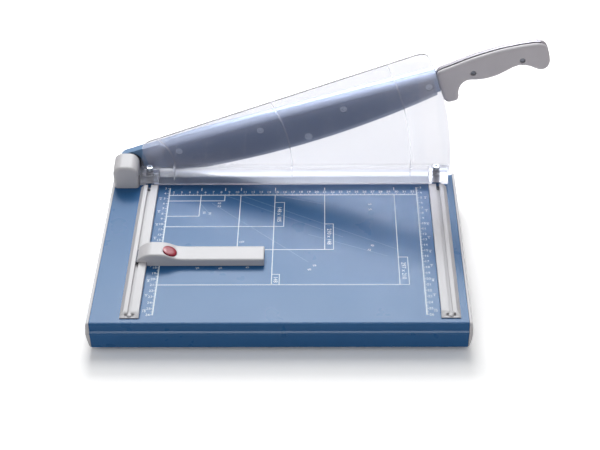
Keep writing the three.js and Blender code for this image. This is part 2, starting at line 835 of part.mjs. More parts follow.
// A thin raised arc on the guard's face, with a small fin where it meets the foot
function guardRib(radius) {
  const top = guardTopAngle(radius);
  const foot = -THREE.MathUtils.radToDeg(Math.asin((pivotHeight - clampLift - footPlate) / radius));
  const outer = arc(pivotX, pivotHeight, radius + ribWide / 2, foot, top, arcFacets);
  const inner = arc(pivotX, pivotHeight, radius - ribWide / 2, foot, top, arcFacets);
  const rib = alongY([...outer, ...inner.reverse()], guardFront - ribProud, guardFront + ribProud);
  const finX = pivotX + radius * Math.cos(degrees(foot));
  const low = clampLift + footPlate / 2;
  const finOutline = [
    [guardFront + ribProud, low],
    [guardFront + ribProud, low + ribFinHeight + footFillet],
    [guardFront - ribProud, low + ribFinHeight + footFillet],
    [guardFront - footFillet - ribFinReach, low],
  ];
  const fin = alongX(finOutline.reverse(), finX - ribFinPly / 2, finX + ribFinPly / 2);
  return [rib, fin];
}

// Angle about the pivot at which a circle meets the guard's top edge, a little inside it
function guardTopAngle(radius) {
  const slack = THREE.MathUtils.radToDeg(Math.asin((guardTop - ribWide) / radius));
  return guardSlope + slack;
}

function makeGuard() {
  const right = cutWidth + footRight;
  const low = clampLift;
  const filletY = guardFront - footFillet;
  const filletZ = low + footPlate + footFillet;
  const footSection = [
    [guardBack, low],
    [guardBack, filletZ],
    [guardFront, filletZ],
    ...arc(filletY, filletZ, footFillet, 0, -90, softFacets * 2),
    [-footFront, low + footPlate],
    [-footFront, low],
  ];
  const blockSection = [
    [guardBack, low],
    [guardBack, low + blockHeight],
    [-footFront + blockSlopeRun, low + blockHeight],
    [-footFront, low + blockBase],
    [-footFront, low],
  ];
  const blocks = [-guardLeft, right - blockWidth].map((x) => alongX(blockSection, x, x + blockWidth));
  const plate = alongY(guardOutline(), guardFront, guardBack);
  const foot = alongX(footSection, -guardLeft, right);
  const roof = low + blockHeight - wellRoof;
  const wells = guidePosts.flatMap(({ x, y }) => [
    turned(rod(wellRadius, low - overrun, roof), boltFacets).translate(x, y, 0),
    turned(rod(postRadius + running, roof - overrun, low + blockHeight + overrun), boltFacets)
      .translate(x, y, 0),
    block([x - slotWidth / 2, x + slotWidth / 2], [-footFront - overrun, y], [low - overrun, low + slotHeight]),
  ]);
  const body = join([plate, foot, ...blocks, ...ribRadii.flatMap(guardRib)]);
  piece("clamp_guard", cut(body, wells), clearPlastic);
}

// A round wire along a helix that starts and ends with one straight length square to its seats
function springCoil(height) {
  const straight = wireRadius * 2;
  const climb = height - straight * 2;
  const steps = coilCurls * coilSteps;
  const path = [new THREE.Vector3(coilRadius, 0, 0)];
  for (let i = 0; i <= steps; i += 1) {
    const angle = (i / coilSteps) * Math.PI * 2;
    const z = straight + (climb * i) / steps;
    path.push(new THREE.Vector3(coilRadius * Math.cos(angle), coilRadius * Math.sin(angle), z));
  }
  path.push(new THREE.Vector3(coilRadius, 0, height));
  return path;
}

// Least distance between wire that is at least half a curl apart, less the wire
function coilGap(path) {
  let least = Infinity;
  path.forEach((a, i) => path.slice(i + coilSteps / 2).forEach((b) => {
    least = Math.min(least, a.distanceTo(b));
  }));
  return least - wireRadius * 2;
}

// One unbroken tube of few sides along a path, closed at both ends
function wireAlong(path) {
  const runs = path.slice(1).map((point, i) => point.clone().sub(path[i]).normalize());
  const positions = [];
  let side = new THREE.Vector3(0, 1, 0);
  path.forEach((point, i) => {
    const before = runs[Math.max(i - 1, 0)];
    const after = runs[Math.min(i, runs.length - 1)];
    const bisector = before.clone().add(after).normalize();
    side = side.clone().addScaledVector(before, -side.dot(before)).normalize();
    const other = before.clone().cross(side);
    for (let k = 0; k < wireSides; k += 1) {
      const angle = (k / wireSides) * Math.PI * 2;
      const spoke = side.clone().multiplyScalar(wireRadius * Math.cos(angle))
        .addScaledVector(other, wireRadius * Math.sin(angle));
      const slide = -spoke.dot(bisector) / before.dot(bisector);
      positions.push(...point.clone().add(spoke).addScaledVector(before, slide).toArray());
    }
    side = side.clone().addScaledVector(after, -side.dot(after)).normalize();
  });
  const index = [];
  for (let i = 0; i < path.length - 1; i += 1) {
    for (let k = 0; k < wireSides; k += 1) {
      const a = i * wireSides + k;
      const b = i * wireSides + ((k + 1) % wireSides);
      index.push(a, b, a + wireSides, b, b + wireSides, a + wireSides);
    }
  }
  const last = (path.length - 1) * wireSides;
  for (let k = 1; k < wireSides - 1; k += 1) {
    index.push(0, k + 1, k, last, last + k, last + k + 1);
  }
  const geometry = new THREE.BufferGeometry();
  geometry.setAttribute("position", new THREE.Float32BufferAttribute(positions, 3));
  geometry.setIndex(index);
  geometry.computeVertexNormals();
  return geometry;
}

function makeGuides() {
  const roof = clampLift + blockHeight - wellRoof;
  const path = springCoil(roof - gap * 2);
  const least = coilGap(path);
  console.log(`least gap in a clamp spring: ${least.toFixed(2)} mm, over ${leastCoilGap} wanted`);
  const headFoot = clampLift + blockHeight + gap;
  const headTop = headFoot + postHeadHeight;
  const bolt = [
    [0, -postTail],
    [postRadius, -postTail],
    [postRadius, headFoot],
    [postHead, headFoot],
    [postHead, headTop],
    [postSocket, headTop],
    [postSocket, headTop - postSocketDepth],
    [0, headTop - postSocketDepth],
  ];
  const nut = ring(postRadius + gap, postNut, -sheet - gap - postNutThick, -sheet - gap);
  guidePosts.forEach(({ x, y }, i) => {
    const side = ["left", "right"][i];
    piece(`guide_bolt_${side}`, turned(bolt, boltFacets), darkSteel).position.set(x, y, 0);
    piece(`guide_nut_${side}`, turned(nut, screwFacets), brightSteel).position.set(x, y, 0);
    piece(`clamp_spring_${side}`, wireAlong(path), darkSteel).position.set(x, y, gap);
  });
}

// Rails

// Section of the left rail in X and Z; the right one is its mirror image
function railSection(side, stopX) {
  const x = (distance) => stopX + side * distance;
  const lipZ = railHeight - grooveLip;
  const mouth = grooveWidth / 2;
  const hall = grooveHall / 2;
  const points = [
    [x(0), gap],
    [x(0), railHeight - gap],
    [x(gap), railHeight],
    [x(railCentre - mouth), railHeight],
    [x(railCentre - mouth), lipZ],
    [x(railCentre - hall), lipZ],
    [x(railCentre - hall), railFloor + gap],
    [x(railCentre + hall), railFloor + gap],
    [x(railCentre + hall), lipZ],
    [x(railCentre + mouth), lipZ],
    [x(railCentre + mouth), railHeight],
    [x(railWidth - railFlank), railHeight],
    [x(railWidth), railFlankFoot + gap],
    [x(railWidth), gap],
  ];
  return points;
}

function makeRail(name, side, stopX, screws) {
  const ends = [stopX, stopX + side * railWidth].sort((a, b) => a - b);
  const length = [
    [railFront, 0],
    [railBack, 0],
    [railBack, railHeight + overrun],
    [railFront + railEndRun, railHeight + overrun],
    [railFront + railEndRun, railHeight],
    [railFront, railEndFoot + gap],
  ];
  const bar = alongY(railSection(side, stopX), railFront - overrun, railBack);
  const body = common(bar, alongX(length, ends[0] - overrun, ends[1] + overrun));
  const holes = screws.map(({ x, y }) =>
    turned(rod(railScrewShank + gap, -overrun, railFloor + gap + overrun), screwFacets).translate(x, y, 0));
  piece(name, cut(body, holes), greyPlastic);
}

function makeRailScrews() {
  const foot = railFloor + gap * 2;
  const top = foot + railScrewHeadHeight;
  const profile = [
    [0, -railScrewTail],
    [railScrewShank, -railScrewTail],
    [railScrewShank, foot],
    [railScrewHead, foot],
    [railScrewHead, top - railScrewHeadHeight / 3],
    [railScrewHead / 2, top],
    [0, top],
  ];
  const names = ["left_back", "left_front", "right_back", "right_front"];
  railScrews.forEach(({ x, y }, i) => {
    piece(`rail_screw_${names[i]}`, turned(profile, screwFacets), darkSteel).position.set(x, y, 0);
  });
}

// Backstop

function makeBackstop() {
  const low = railHeight + gap;
  const outline = [
    [gap, gap],
    [stopLength, gap],
    [stopLength, stopHeight],
    [slopeEnd + humpShoulderAt, stopHeight],
    [slopeEnd, slopeEndHeight],
    [humpBend, humpBendHeight],
    [humpFlatEnd, humpHeight],
    [humpFlatStart, humpHeight],
    [-humpShoulderAt, humpShoulder],
    [-tongueLeft, tongueEdge],
    [-tongueLeft, low],
    [gap, low],
  ];
  const shape = new THREE.Shape(outline.map(([x, z]) => new THREE.Vector2(x, z)));
  const body = new THREE.ExtrudeGeometry(shape, {
    depth: stopDepth - stopBevel * 2,
    bevelThickness: stopBevel,
    bevelSize: stopBevel,
    bevelOffset: -stopBevel,
    bevelSegments: softFacets / 2,
  });
  body.rotateX(Math.PI / 2).translate(0, -stopPlace - stopBevel, 0);
  const well = turned(rod(buttonRadius + running, buttonFloor, humpHeight + overrun), boltFacets);
  piece("backstop", cut(body, [well.translate(buttonAt, buttonY, 0)]), greyPlastic);

  const floor = railFloor + gap * 2;
  const shoulder = floor + shoeHeight;
  const shoeOutline = [
    [-railCentre - shoeWidth / 2, floor],
    [-railCentre + shoeWidth / 2, floor],
    [-railCentre + shoeWidth / 2, shoulder],
    [-railCentre + shoeNeck / 2, shoulder],
    [-railCentre + shoeNeck / 2, railHeight],
    [-railCentre - shoeNeck / 2, railHeight],
    [-railCentre - shoeNeck / 2, shoulder],
    [-railCentre - shoeWidth / 2, shoulder],
  ];
  const shoe = alongY(shoeOutline, stopMiddle - shoeLength / 2, stopMiddle + shoeLength / 2);
  piece("slide_shoe", shoe, darkSteel);
}

function makeButton() {
  const slope = Math.atan2(humpBendHeight - slopeEndHeight, slopeEnd - humpBend);
  const faceZ = humpBendHeight - (buttonAt - humpBend) * Math.tan(slope) + buttonProud;
  const column = turned(rod(buttonRadius, buttonFoot, humpHeight + overrun), boltFacets);
  const lid = new THREE.BoxGeometry(stopDepth * 2, stopDepth * 2, stopDepth);
  lid.translate(0, 0, stopDepth / 2).rotateY(slope).translate(0, 0, faceZ);
  piece("release_button", cut(column, [lid]), redPlastic).position.set(buttonAt, buttonY, 0);
  const spring = ring(buttonSpringInner, buttonSpringOuter, buttonFloor + gap, buttonFoot - gap);
  piece("button_spring", turned(spring, screwFacets), brightSteel).position.set(buttonAt, buttonY, 0);
}

makeTable();
makeEndCap("left_end_cap", tableLeft - gap, -1);
makeEndCap("right_end_cap", tableRight + gap, 1);
makeFeet();
makeLowerBlade();
makePivot();
makeCover();
makeArm();
makeBlade();
makeHandle();
makeGuard();
makeGuides();
makeRail("left_rail", -1, 0, railScrews.filter(({ x }) => x < 0));
makeRail("right_rail", 1, cutWidth, railScrews.filter(({ x }) => x > 0));
makeRailScrews();
makeBackstop();
makeButton();

// The origin is the middle of the box's bottom.
cutter.updateMatrixWorld(true);
const bounds = new THREE.Box3().setFromObject(cutter, true);
const middle = bounds.getCenter(new THREE.Vector3());
cutter.position.set(-middle.x, -middle.y, -bounds.min.z);
cutter.updateMatrixWorld(true);

export default cutter;
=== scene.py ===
"""A guillotine paper cutter for the desk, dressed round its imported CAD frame.

Places are given in the paper frame, in millimetres: X = 0 at the left paper stop, Y = 0 at the
cutting edge with the user at -Y, Z = 0 on the table. The lever has a frame of its own, u along the
blade from the pivot and v up, raised as it stands.
"""
import json
import math

import bpy
from bpy.props import FloatProperty, FloatVectorProperty, IntProperty, PointerProperty
from mathutils import Matrix, Vector

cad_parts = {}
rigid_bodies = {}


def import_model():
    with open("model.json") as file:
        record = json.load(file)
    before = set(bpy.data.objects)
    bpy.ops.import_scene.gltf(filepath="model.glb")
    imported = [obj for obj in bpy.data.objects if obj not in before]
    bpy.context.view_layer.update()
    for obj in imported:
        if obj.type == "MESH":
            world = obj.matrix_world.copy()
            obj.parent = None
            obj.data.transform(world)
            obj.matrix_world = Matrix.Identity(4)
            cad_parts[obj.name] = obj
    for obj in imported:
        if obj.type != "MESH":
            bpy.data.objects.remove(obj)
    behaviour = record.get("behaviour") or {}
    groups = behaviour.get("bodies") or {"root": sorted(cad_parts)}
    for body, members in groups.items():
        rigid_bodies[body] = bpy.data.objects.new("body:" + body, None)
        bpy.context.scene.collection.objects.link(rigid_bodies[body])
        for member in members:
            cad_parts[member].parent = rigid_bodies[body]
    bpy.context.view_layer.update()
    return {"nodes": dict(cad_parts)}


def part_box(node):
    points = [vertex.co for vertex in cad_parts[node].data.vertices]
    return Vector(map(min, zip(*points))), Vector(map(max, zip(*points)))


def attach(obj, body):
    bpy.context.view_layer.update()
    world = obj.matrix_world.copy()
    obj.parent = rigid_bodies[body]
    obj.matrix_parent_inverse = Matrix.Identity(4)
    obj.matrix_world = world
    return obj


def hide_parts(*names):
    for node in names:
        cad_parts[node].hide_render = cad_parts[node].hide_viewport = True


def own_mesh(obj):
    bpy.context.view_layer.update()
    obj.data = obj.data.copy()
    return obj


bl_info = {
    "name": "Guillotine Paper Cutter",
    "version": (1, 0, 0),
    "blender": (4, 5, 0),
    "location": "View3D > Sidebar > Cutter",
    "description": "Finished pieces, materials, light and camera for a desk paper cutter",
    "category": "Object",
}

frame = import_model()

MM = 0.001
INCH = 25.4
# Corners this close to a plane or to each other lie on it, or are one
NEAR = MM / 50
SAME = MM / 200
ZERO = Vector((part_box("left_rail")[1].x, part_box("lower_blade")[1].y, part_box("table_top")[1].z))
PIVOT_X = -36.5
PIVOT_Z = 17.5
RAISE = math.radians(17)
TABLE_DEPTH = 272
TABLE_LEFT = -56
TABLE_RIGHT = 372
# The upper blade's curved edge, as on the CAD node
EDGE_DEEPEST = 178
EDGE_DEPTH = 36.7
EDGE_RADIUS = 1050
HONED_STRIP = 5
# How far the coat of the arm's root reaches along the arm, and where the tang starts
COATED_ROOT = 21
TANG_START = 404
# The guard's thin ribs round the pivot, half the width of the white line painted along each as its
# highlight, and how white that painted highlight is
RIB_RADII = (57, 205.5, 355)
RIB_LINE = 0.45
RIB_PAINTED_HIGHLIGHT = 0.3
# The guard's foot is frosted from this height down to that one
FROST_TOP = 22
FROST_LOW = 9
# The grain of brushed or ground steel is this many times as long as it is wide
BRUSHED = 30
# Turns what faces up to face the user, or away from the user
TO_FRONT = Matrix.Rotation(math.pi / 2, 4, "X")
TO_BACK = Matrix.Rotation(-math.pi / 2, 4, "X")
Y_AXIS = Vector((0, 1, 0))
SIDES = ("left", "right")


# Places

def at(x, y, z):
    """A place in the paper frame, as metres in the row frame."""
    return ZERO + Vector((x, y, z)) * MM


def in_paper(place):
    """A place in metres, as millimetres in the paper frame."""
    return [(a - b) / MM for a, b in zip(place, ZERO)]


def paper_matrix(x, y, z):
    """Moves what is drawn round the origin to a place in the paper frame."""
    return Matrix.Translation(at(x, y, z))


def lever_matrix(u, y, v):
    """Moves what is drawn round the origin to a place on the lever, turned with it."""
    turn = Matrix.Rotation(-RAISE, 4, "Y")
    return paper_matrix(PIVOT_X, 0, PIVOT_Z) @ turn @ Matrix.Translation(Vector((u, y, v)) * MM)


def on_lever(u, y, v):
    """A place on the lever, as metres in the row frame."""
    return lever_matrix(u, y, v).to_translation()


def quarter(steps):
    """The angles of a quarter round."""
    return [math.pi / 2 * i / steps for i in range(steps + 1)]


# Shaping by hand

def only(*pieces):
    """Selects these pieces alone, the first one active."""
    if bpy.context.object and bpy.context.object.mode != "OBJECT":
        bpy.ops.object.mode_set(mode="OBJECT")
    bpy.ops.object.select_all(action="DESELECT")
    for piece in pieces:
        piece.select_set(True)
    if pieces:
        bpy.context.view_layer.objects.active = pieces[0]


def named(piece, name):
    """Names a piece and its mesh."""
    piece.name = name
    piece.data.name = name
    return piece


def settle(piece, name):
    """Names a piece and puts its place into its mesh."""
    only(piece)
    bpy.ops.object.transform_apply(location=True, rotation=True, scale=True)
    return named(piece, name)


def enter_edit(piece):
    """Goes into edit mode with the whole mesh selected."""
    only(piece)
    bpy.ops.object.mode_set(mode="EDIT")
    bpy.ops.mesh.select_all(action="SELECT")
    return piece


def pick(piece, kind, test):
    """Goes into edit mode with the faces or edges selected whose corners pass a test."""
    enter_edit(piece)
    bpy.ops.mesh.select_mode(type=kind)
    bpy.ops.mesh.select_all(action="DESELECT")
    bpy.ops.object.mode_set(mode="OBJECT")
    mesh = piece.data
    for part in mesh.polygons if kind == "FACE" else mesh.edges:
        part.select = test([mesh.vertices[i].co for i in part.vertices])
    bpy.ops.object.mode_set(mode="EDIT")


def in_plane(point, normal):
    """A test that passes faces and edges in one plane."""
    return lambda corners: all(abs((p - point).dot(normal)) < NEAR for p in corners)


def leave_edit(merge=0.0):
    """Points all faces outwards and leaves edit mode."""
    bpy.ops.mesh.select_all(action="SELECT")
    if merge:
        bpy.ops.mesh.remove_doubles(threshold=merge)
    bpy.ops.mesh.normals_make_consistent(inside=False)
    bpy.ops.object.mode_set(mode="OBJECT")


def modify(piece, kind, **values):
    """Adds a modifier with its values and applies it."""
    only(piece)
    bpy.ops.object.modifier_add(type=kind)
    modifier = piece.modifiers[-1]
    for name, value in values.items():
        setattr(modifier, name, value)
    bpy.ops.object.modifier_apply(modifier=modifier.name)


def soften(piece, width, segments=3, angle=35):
    """Rounds the sharp edges and shades the piece smooth between those that stay."""
    if width:
        modify(piece, "BEVEL", width=width * MM, segments=segments, limit_method="ANGLE",
               angle_limit=math.radians(angle), harden_normals=False, miter_outer="MITER_ARC")
    only(piece)
    bpy.ops.object.shade_smooth_by_angle(angle=math.radians(angle))
    modify(piece, "WEIGHTED_NORMAL", keep_sharp=True)


def round_over(piece, test, width, height, steps=7):
    """Raises the faces that pass a test in a quarter round, so their rim becomes soft."""
    pick(piece, "FACE", test)
    angles = quarter(steps)
    for a, b in zip(angles, angles[1:]):
        bpy.ops.mesh.inset(thickness=(math.cos(a) - math.cos(b)) * width * MM,
                           depth=(math.sin(b) - math.sin(a)) * height * MM)
    leave_edit()


def ring_of_corners(name, points, fill="NOTHING"):
    """A circle's corners moved to the points of an outline, ready in edit mode."""
    only()
    bpy.ops.mesh.primitive_circle_add(vertices=len(points), radius=MM, fill_type=fill)
    piece = bpy.context.object
    for vertex, point in zip(piece.data.vertices, points):
        vertex.co = point
    return enter_edit(named(piece, name))


def drawn_out(name, points, along):
    """A solid drawn out of a flat outline."""
    piece = ring_of_corners(name, points, "NGON")
    bpy.ops.mesh.extrude_region_move(TRANSFORM_OT_translate={"value": along})
    leave_edit()
    return piece


def turned(name, profile, steps=32):
    """A piece turned about the Z axis from a closed profile of radius and height in millimetres."""
    piece = ring_of_corners(name, [Vector((r, 0, h)) * MM for r, h in profile])
    bpy.ops.mesh.spin(steps=steps, angle=math.tau, center=(0, 0, 0), axis=(0, 0, 1))
    leave_edit(merge=SAME)
    if min(r for r, _ in profile) <= 0:
        pick(piece, "EDGE", lambda c: all(p.xy.length < NEAR for p in c))
        bpy.ops.mesh.delete(type="EDGE")
        leave_edit()
    return piece


def cut_away(piece, tool):
    """Cuts a piece with another one, which goes."""
    modify(piece, "BOOLEAN", operation="DIFFERENCE", solver="EXACT", object=tool)
    bpy.data.objects.remove(tool)


def round_tool(radius, depth, matrix, sides=32):
    """A drill or hexagon broach that reaches from above down to a depth below its face."""
    only()
    bpy.ops.mesh.primitive_cylinder_add(vertices=sides, radius=radius * MM, depth=2 * depth * MM)
    tool = bpy.context.object
    tool.data.transform(matrix)
    return tool


def copied(piece, name, matrix):
    """A copy with a mesh of its own, at another place."""
    twin = piece.copy()
    twin.data = piece.data.copy()
    twin.data.transform(matrix)
    bpy.context.collection.objects.link(twin)
    return named(twin, name)


def dress(piece, material, body, *nodes):
    """Gives a finished piece its material and body, and hides the CAD nodes that it stands for."""
    piece.data.materials.clear()
    piece.data.materials.append(finish(material))
    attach(piece, body)
    if nodes:
        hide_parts(*nodes)
    return piece


def from_frame(node, name, material, body="base", edge=None, segments=2, angle=35):
    """A CAD node's shape as a dressed piece: triangles merged, flats cleaned, edges broken."""
    if edge is None:
        edge = bpy.context.scene.cutter_sizes.steel_edge
    piece = named(bpy.data.objects.new(name, frame["nodes"][node].data.copy()), name)
    bpy.context.collection.objects.link(piece)
    enter_edit(piece)
    bpy.ops.mesh.remove_doubles(threshold=SAME)
    bpy.ops.mesh.dissolve_limited(angle_limit=math.radians(0.5))
    bpy.ops.object.mode_set(mode="OBJECT")
    soften(piece, edge, segments, angle)
    return dress(piece, material, body, node)


# Outlines

def softened(corners, steps=5):
    """An outline whose corners are softened, each by a run of its own."""
    outline = []
    points = [Vector(corner[:2]) for corner in corners]
    for i, here in enumerate(points):
        run = corners[i][2]
        start = here + (points[i - 1] - here).normalized() * run
        end = here + (points[(i + 1) % len(points)] - here).normalized() * run
        shares = [k / steps for k in range(steps + 1)] if run else [0]
        outline += [start * (1 - t) ** 2 + here * 2 * t * (1 - t) + end * t * t for t in shares]
    return outline


def smooth_through(points, steps=4):
    """A closed curve through the points of an outline."""
    curve = []
    count = len(points)
    for i in range(count):
        p = [Vector(points[(i + k) % count]) for k in (-1, 0, 1, 2)]
        for step in range(steps):
            t = step / steps
            curve.append(0.5 * (
                2 * p[1] + (p[2] - p[0]) * t
                + (2 * p[0] - 5 * p[1] + 4 * p[2] - p[3]) * t * t
                + (3 * p[1] - p[0] - 3 * p[2] + p[3]) * t ** 3
            ))
    return curve


# Nodes

def feed(node, values):
    """Sets a node: a lower-case name is its own setting, any other an input; sockets are linked."""
    for name, value in values.items():
        if isinstance(name, str) and name.islower():
            setattr(node, name, value)
        elif isinstance(value, bpy.types.NodeSocket):
            node.id_data.links.new(value, node.inputs[name])
        else:
            node.inputs[name].default_value = value


def add_node(tree, kind, values=None):
    """Adds a shader node with its values, and gives its outputs."""
    made = tree.nodes.new("ShaderNode" + kind)
    feed(made, values or {})
    return made.outputs


def grain(tree, width, stretch=(1, 1, 1), detail=3.0, turn=0.0):
    """Noise on the piece's own coordinates, one grain this many millimetres wide."""
    place = add_node(tree, "TexCoord")["Object"]
    scaled = add_node(tree, "Mapping", {
        "Scale": tuple(1 / (width * MM * s) for s in stretch), "Rotation": (0, turn, 0),
        "Vector": place})["Vector"]
    return add_node(tree, "TexNoise", {"Scale": 1.0, "Detail": detail, "Vector": scaled})["Fac"]


def from_centre(tree, centre):
    """How far a point lies from a centre, seen from the front."""
    place = add_node(tree, "TexCoord")["Object"]
    moved = add_node(tree, "VectorMath", {"operation": "SUBTRACT", 0: place, 1: centre})["Vector"]
    flat = add_node(tree, "VectorMath", {
        "operation": "MULTIPLY", 0: moved, 1: (1, 0, 1)})["Vector"]
    return add_node(tree, "VectorMath", {"operation": "LENGTH", 0: flat})["Value"]


# Materials

def linear(code):
    """The linear colour of an sRGB hex value."""
    shares = [int(code[i:i + 2], 16) / 255 for i in (1, 3, 5)]
    return tuple(s / 12.92 if s <= 0.04045 else ((s + 0.055) / 1.055) ** 2.4 for s in shares)


def tint(color, share):
    """A colour made a little darker or lighter."""
    return tuple(min(c * share, 1.0) for c in color)


def insides(material):
    """A material's node tree, its main shader and what feeds that shader's colour."""
    tree = material.node_tree
    shader = tree.nodes["Principled BSDF"]
    return tree, shader, shader.inputs["Base Color"].links[0].from_socket


def begin(name, color, roughness, metallic=0.0, **sockets):
    """A material whose constant values stand on its shader's own sockets."""
    material = bpy.data.materials.new(name)
    material.use_nodes = True
    material.diffuse_color = (*color, 1)
    shader = material.node_tree.nodes["Principled BSDF"]
    feed(shader, {"Base Color": (*color, 1), "Roughness": roughness, "Metallic": metallic})
    feed(shader, {socket.replace("_", " "): value for socket, value in sockets.items()})
    return material, material.node_tree, shader


def uneven(shader, color, tones, clouds, gloss=None, bumps=None):
    """Lets the colour wander between two tones with a pattern, and the gloss and height likewise.
    The gloss is given as a pattern and two values, the bumps as pattern, depth and strength."""
    tree = shader.id_data
    low, high = ((*tint(color, tone), 1) for tone in tones)
    values = {"Base Color": add_node(tree, "Mix", {
        "data_type": "RGBA", 0: clouds, 6: low, 7: high})[2]}
    if gloss:
        pattern, low, high = gloss
        values["Roughness"] = add_node(tree, "MapRange", {
            "Value": pattern, "From Min": 0.15, "From Max": 0.85, "To Min": low,
            "To Max": high})["Result"]
    if bumps:
        pattern, depth, strength = bumps
        values["Normal"] = add_node(tree, "Bump", {
            "Height": pattern, "Distance": depth * MM, "Strength": strength})["Normal"]
    feed(shader, values)


def mottled(name, color, cloud, tones, gloss=None, bumps=None, **constants):
    """A coated, moulded or printed surface, its clouds so many millimetres wide and of two tones.
    The gloss is given as a width and two values, the bumps as width, detail, depth and strength."""
    material, tree, shader = begin(name, color, **constants)
    if gloss:
        width, low, high = gloss
        gloss = (grain(tree, width), low, high)
    if bumps:
        width, detail, depth, strength = bumps
        bumps = (grain(tree, width, detail=detail), depth, strength)
    uneven(shader, color, tones, grain(tree, cloud), gloss, bumps)
    return material


def steel(name, color, roughness, line, stretch=(1, 1, 1), turn=0.0, metallic=1.0):
    """Bare or plated steel with fine machining lines along one direction."""
    material, tree, shader = begin(name, color, roughness, metallic)
    lines = grain(tree, line, stretch, detail=4, turn=turn)
    uneven(shader, color, (0.86, 1.12), lines,
           gloss=(lines, roughness * 0.8, roughness * 1.25), bumps=(lines, 0.006, 0.35))
    return material


def satin_arm(*looks, **constants):
    """Steel brushed along the arm: its root is coated, its tang darkened as painted shade between
    the handle's halves.
    """
    material = steel(*looks, **constants)
    tree, shader, brushed = insides(material)
    colors = bpy.context.scene.cutter_colors
    along = on_lever(1 / MM, 0, 0) - on_lever(0, 0, 0)
    place = add_node(tree, "TexCoord")["Object"]
    moved = add_node(tree, "VectorMath", {
        "operation": "SUBTRACT", 0: place, 1: on_lever(0, 0, 0)})["Vector"]
    far = add_node(tree, "VectorMath", {"operation": "DOT_PRODUCT", 0: moved, 1: along})["Value"]
    bare = add_node(tree, "MapRange", {
        "Value": far, "From Min": (COATED_ROOT - 0.3) * MM,
        "From Max": (COATED_ROOT + 0.3) * MM})["Result"]
    # Past the tang's start the colour turns to the darker tang tone: painted shade along the line
    # between the handle's halves
    tang = add_node(tree, "MapRange", {
        "Value": far, "From Min": TANG_START * MM, "From Max": (TANG_START + 0.5) * MM})["Result"]
    color = add_node(tree, "Mix", {
        "data_type": "RGBA", 0: bare, 6: (*colors.root, 1), 7: brushed})[2]
    color = add_node(tree, "Mix", {
        "data_type": "RGBA", 0: tang, 6: color, 7: (*colors.tang, 1)})[2]
    feed(shader, {"Base Color": color, "Metallic": bare})
    return material


def honed_blade(*looks, **constants):
    """Ground steel with the brighter honed strip along the upper blade's curved edge."""
    material = steel(*looks, **constants)
    tree, shader, ground = insides(material)
    honed = bpy.context.scene.cutter_colors.honed
    start = EDGE_RADIUS - HONED_STRIP
    strip = add_node(tree, "MapRange", {
        "Value": from_centre(tree, on_lever(EDGE_DEEPEST, 0, EDGE_RADIUS - EDGE_DEPTH)),
        "From Min": start * MM, "From Max": (start + HONED_STRIP / 2) * MM})["Result"]
    color = add_node(tree, "Mix", {
        "data_type": "RGBA", 0: strip, 6: ground, 7: (*honed, 1)})[2]
    feed(shader, {"Base Color": color})
    return material


def acrylic(name, color, **constants):
    """Clear with a slight milky haze, frosted at the guard's foot, with a painted white highlight
    along its thin ribs.
    """
    material, tree, shader = begin(name, color, **constants)
    place = add_node(tree, "TexCoord")["Object"]
    height = add_node(tree, "SeparateXYZ", {"Vector": place})["Z"]
    foot = add_node(tree, "MapRange", {
        "Value": height, "From Min": at(0, 0, FROST_TOP).z,
        "From Max": at(0, 0, FROST_LOW).z})["Result"]
    frost, milky = (
        add_node(tree, "MapRange", {"Value": foot, "To Min": 0.05, "To Max": most})["Result"]
        for most in (0.2, 0.4))
    feed(shader, {"Roughness": frost})

    # Along each rib the acrylic turns milky white in a thin line: a painted highlight for the light
    # the rib catches
    far = from_centre(tree, on_lever(0, 0, 0))
    for radius in RIB_RADII:
        rib = add_node(tree, "Math", {
            "operation": "COMPARE", 0: far, 1: radius * MM, 2: RIB_LINE * MM})["Value"]
        rib_highlight = add_node(tree, "Math", {"operation": "MULTIPLY", 0: rib, 1: RIB_PAINTED_HIGHLIGHT})["Value"]
        milky = add_node(tree, "Math", {"operation": "MAXIMUM", 0: milky, 1: rib_highlight})["Value"]
    milk, skin = (add_node(tree, kind, {"Color": (*color, 1)})["BSDF"]
                  for kind in ("BsdfTranslucent", "BsdfDiffuse"))
    haze = add_node(tree, "MixShader", {0: 0.15, 1: milk, 2: skin})["Shader"]
    hazy = add_node(tree, "MixShader", {0: milky, 1: shader.outputs["BSDF"], 2: haze})["Shader"]

    dimmed = add_node(tree, "Mix", {
        "data_type": "RGBA", 0: foot, 6: (*tint(color, 0.9), 1), 7: (*tint(color, 0.62), 1)})[2]
    through = add_node(tree, "BsdfTransparent", {"Color": dimmed})["BSDF"]
    ray = add_node(tree, "LightPath")
    unseen = add_node(tree, "Math", {
        "operation": "MAXIMUM", 0: ray["Is Shadow Ray"], 1: ray["Is Diffuse Ray"]})["Value"]
    surface = add_node(tree, "MixShader", {0: unseen, 1: hazy, 2: through})["Shader"]
    feed(tree.nodes["Material Output"], {"Surface": surface})
    return material


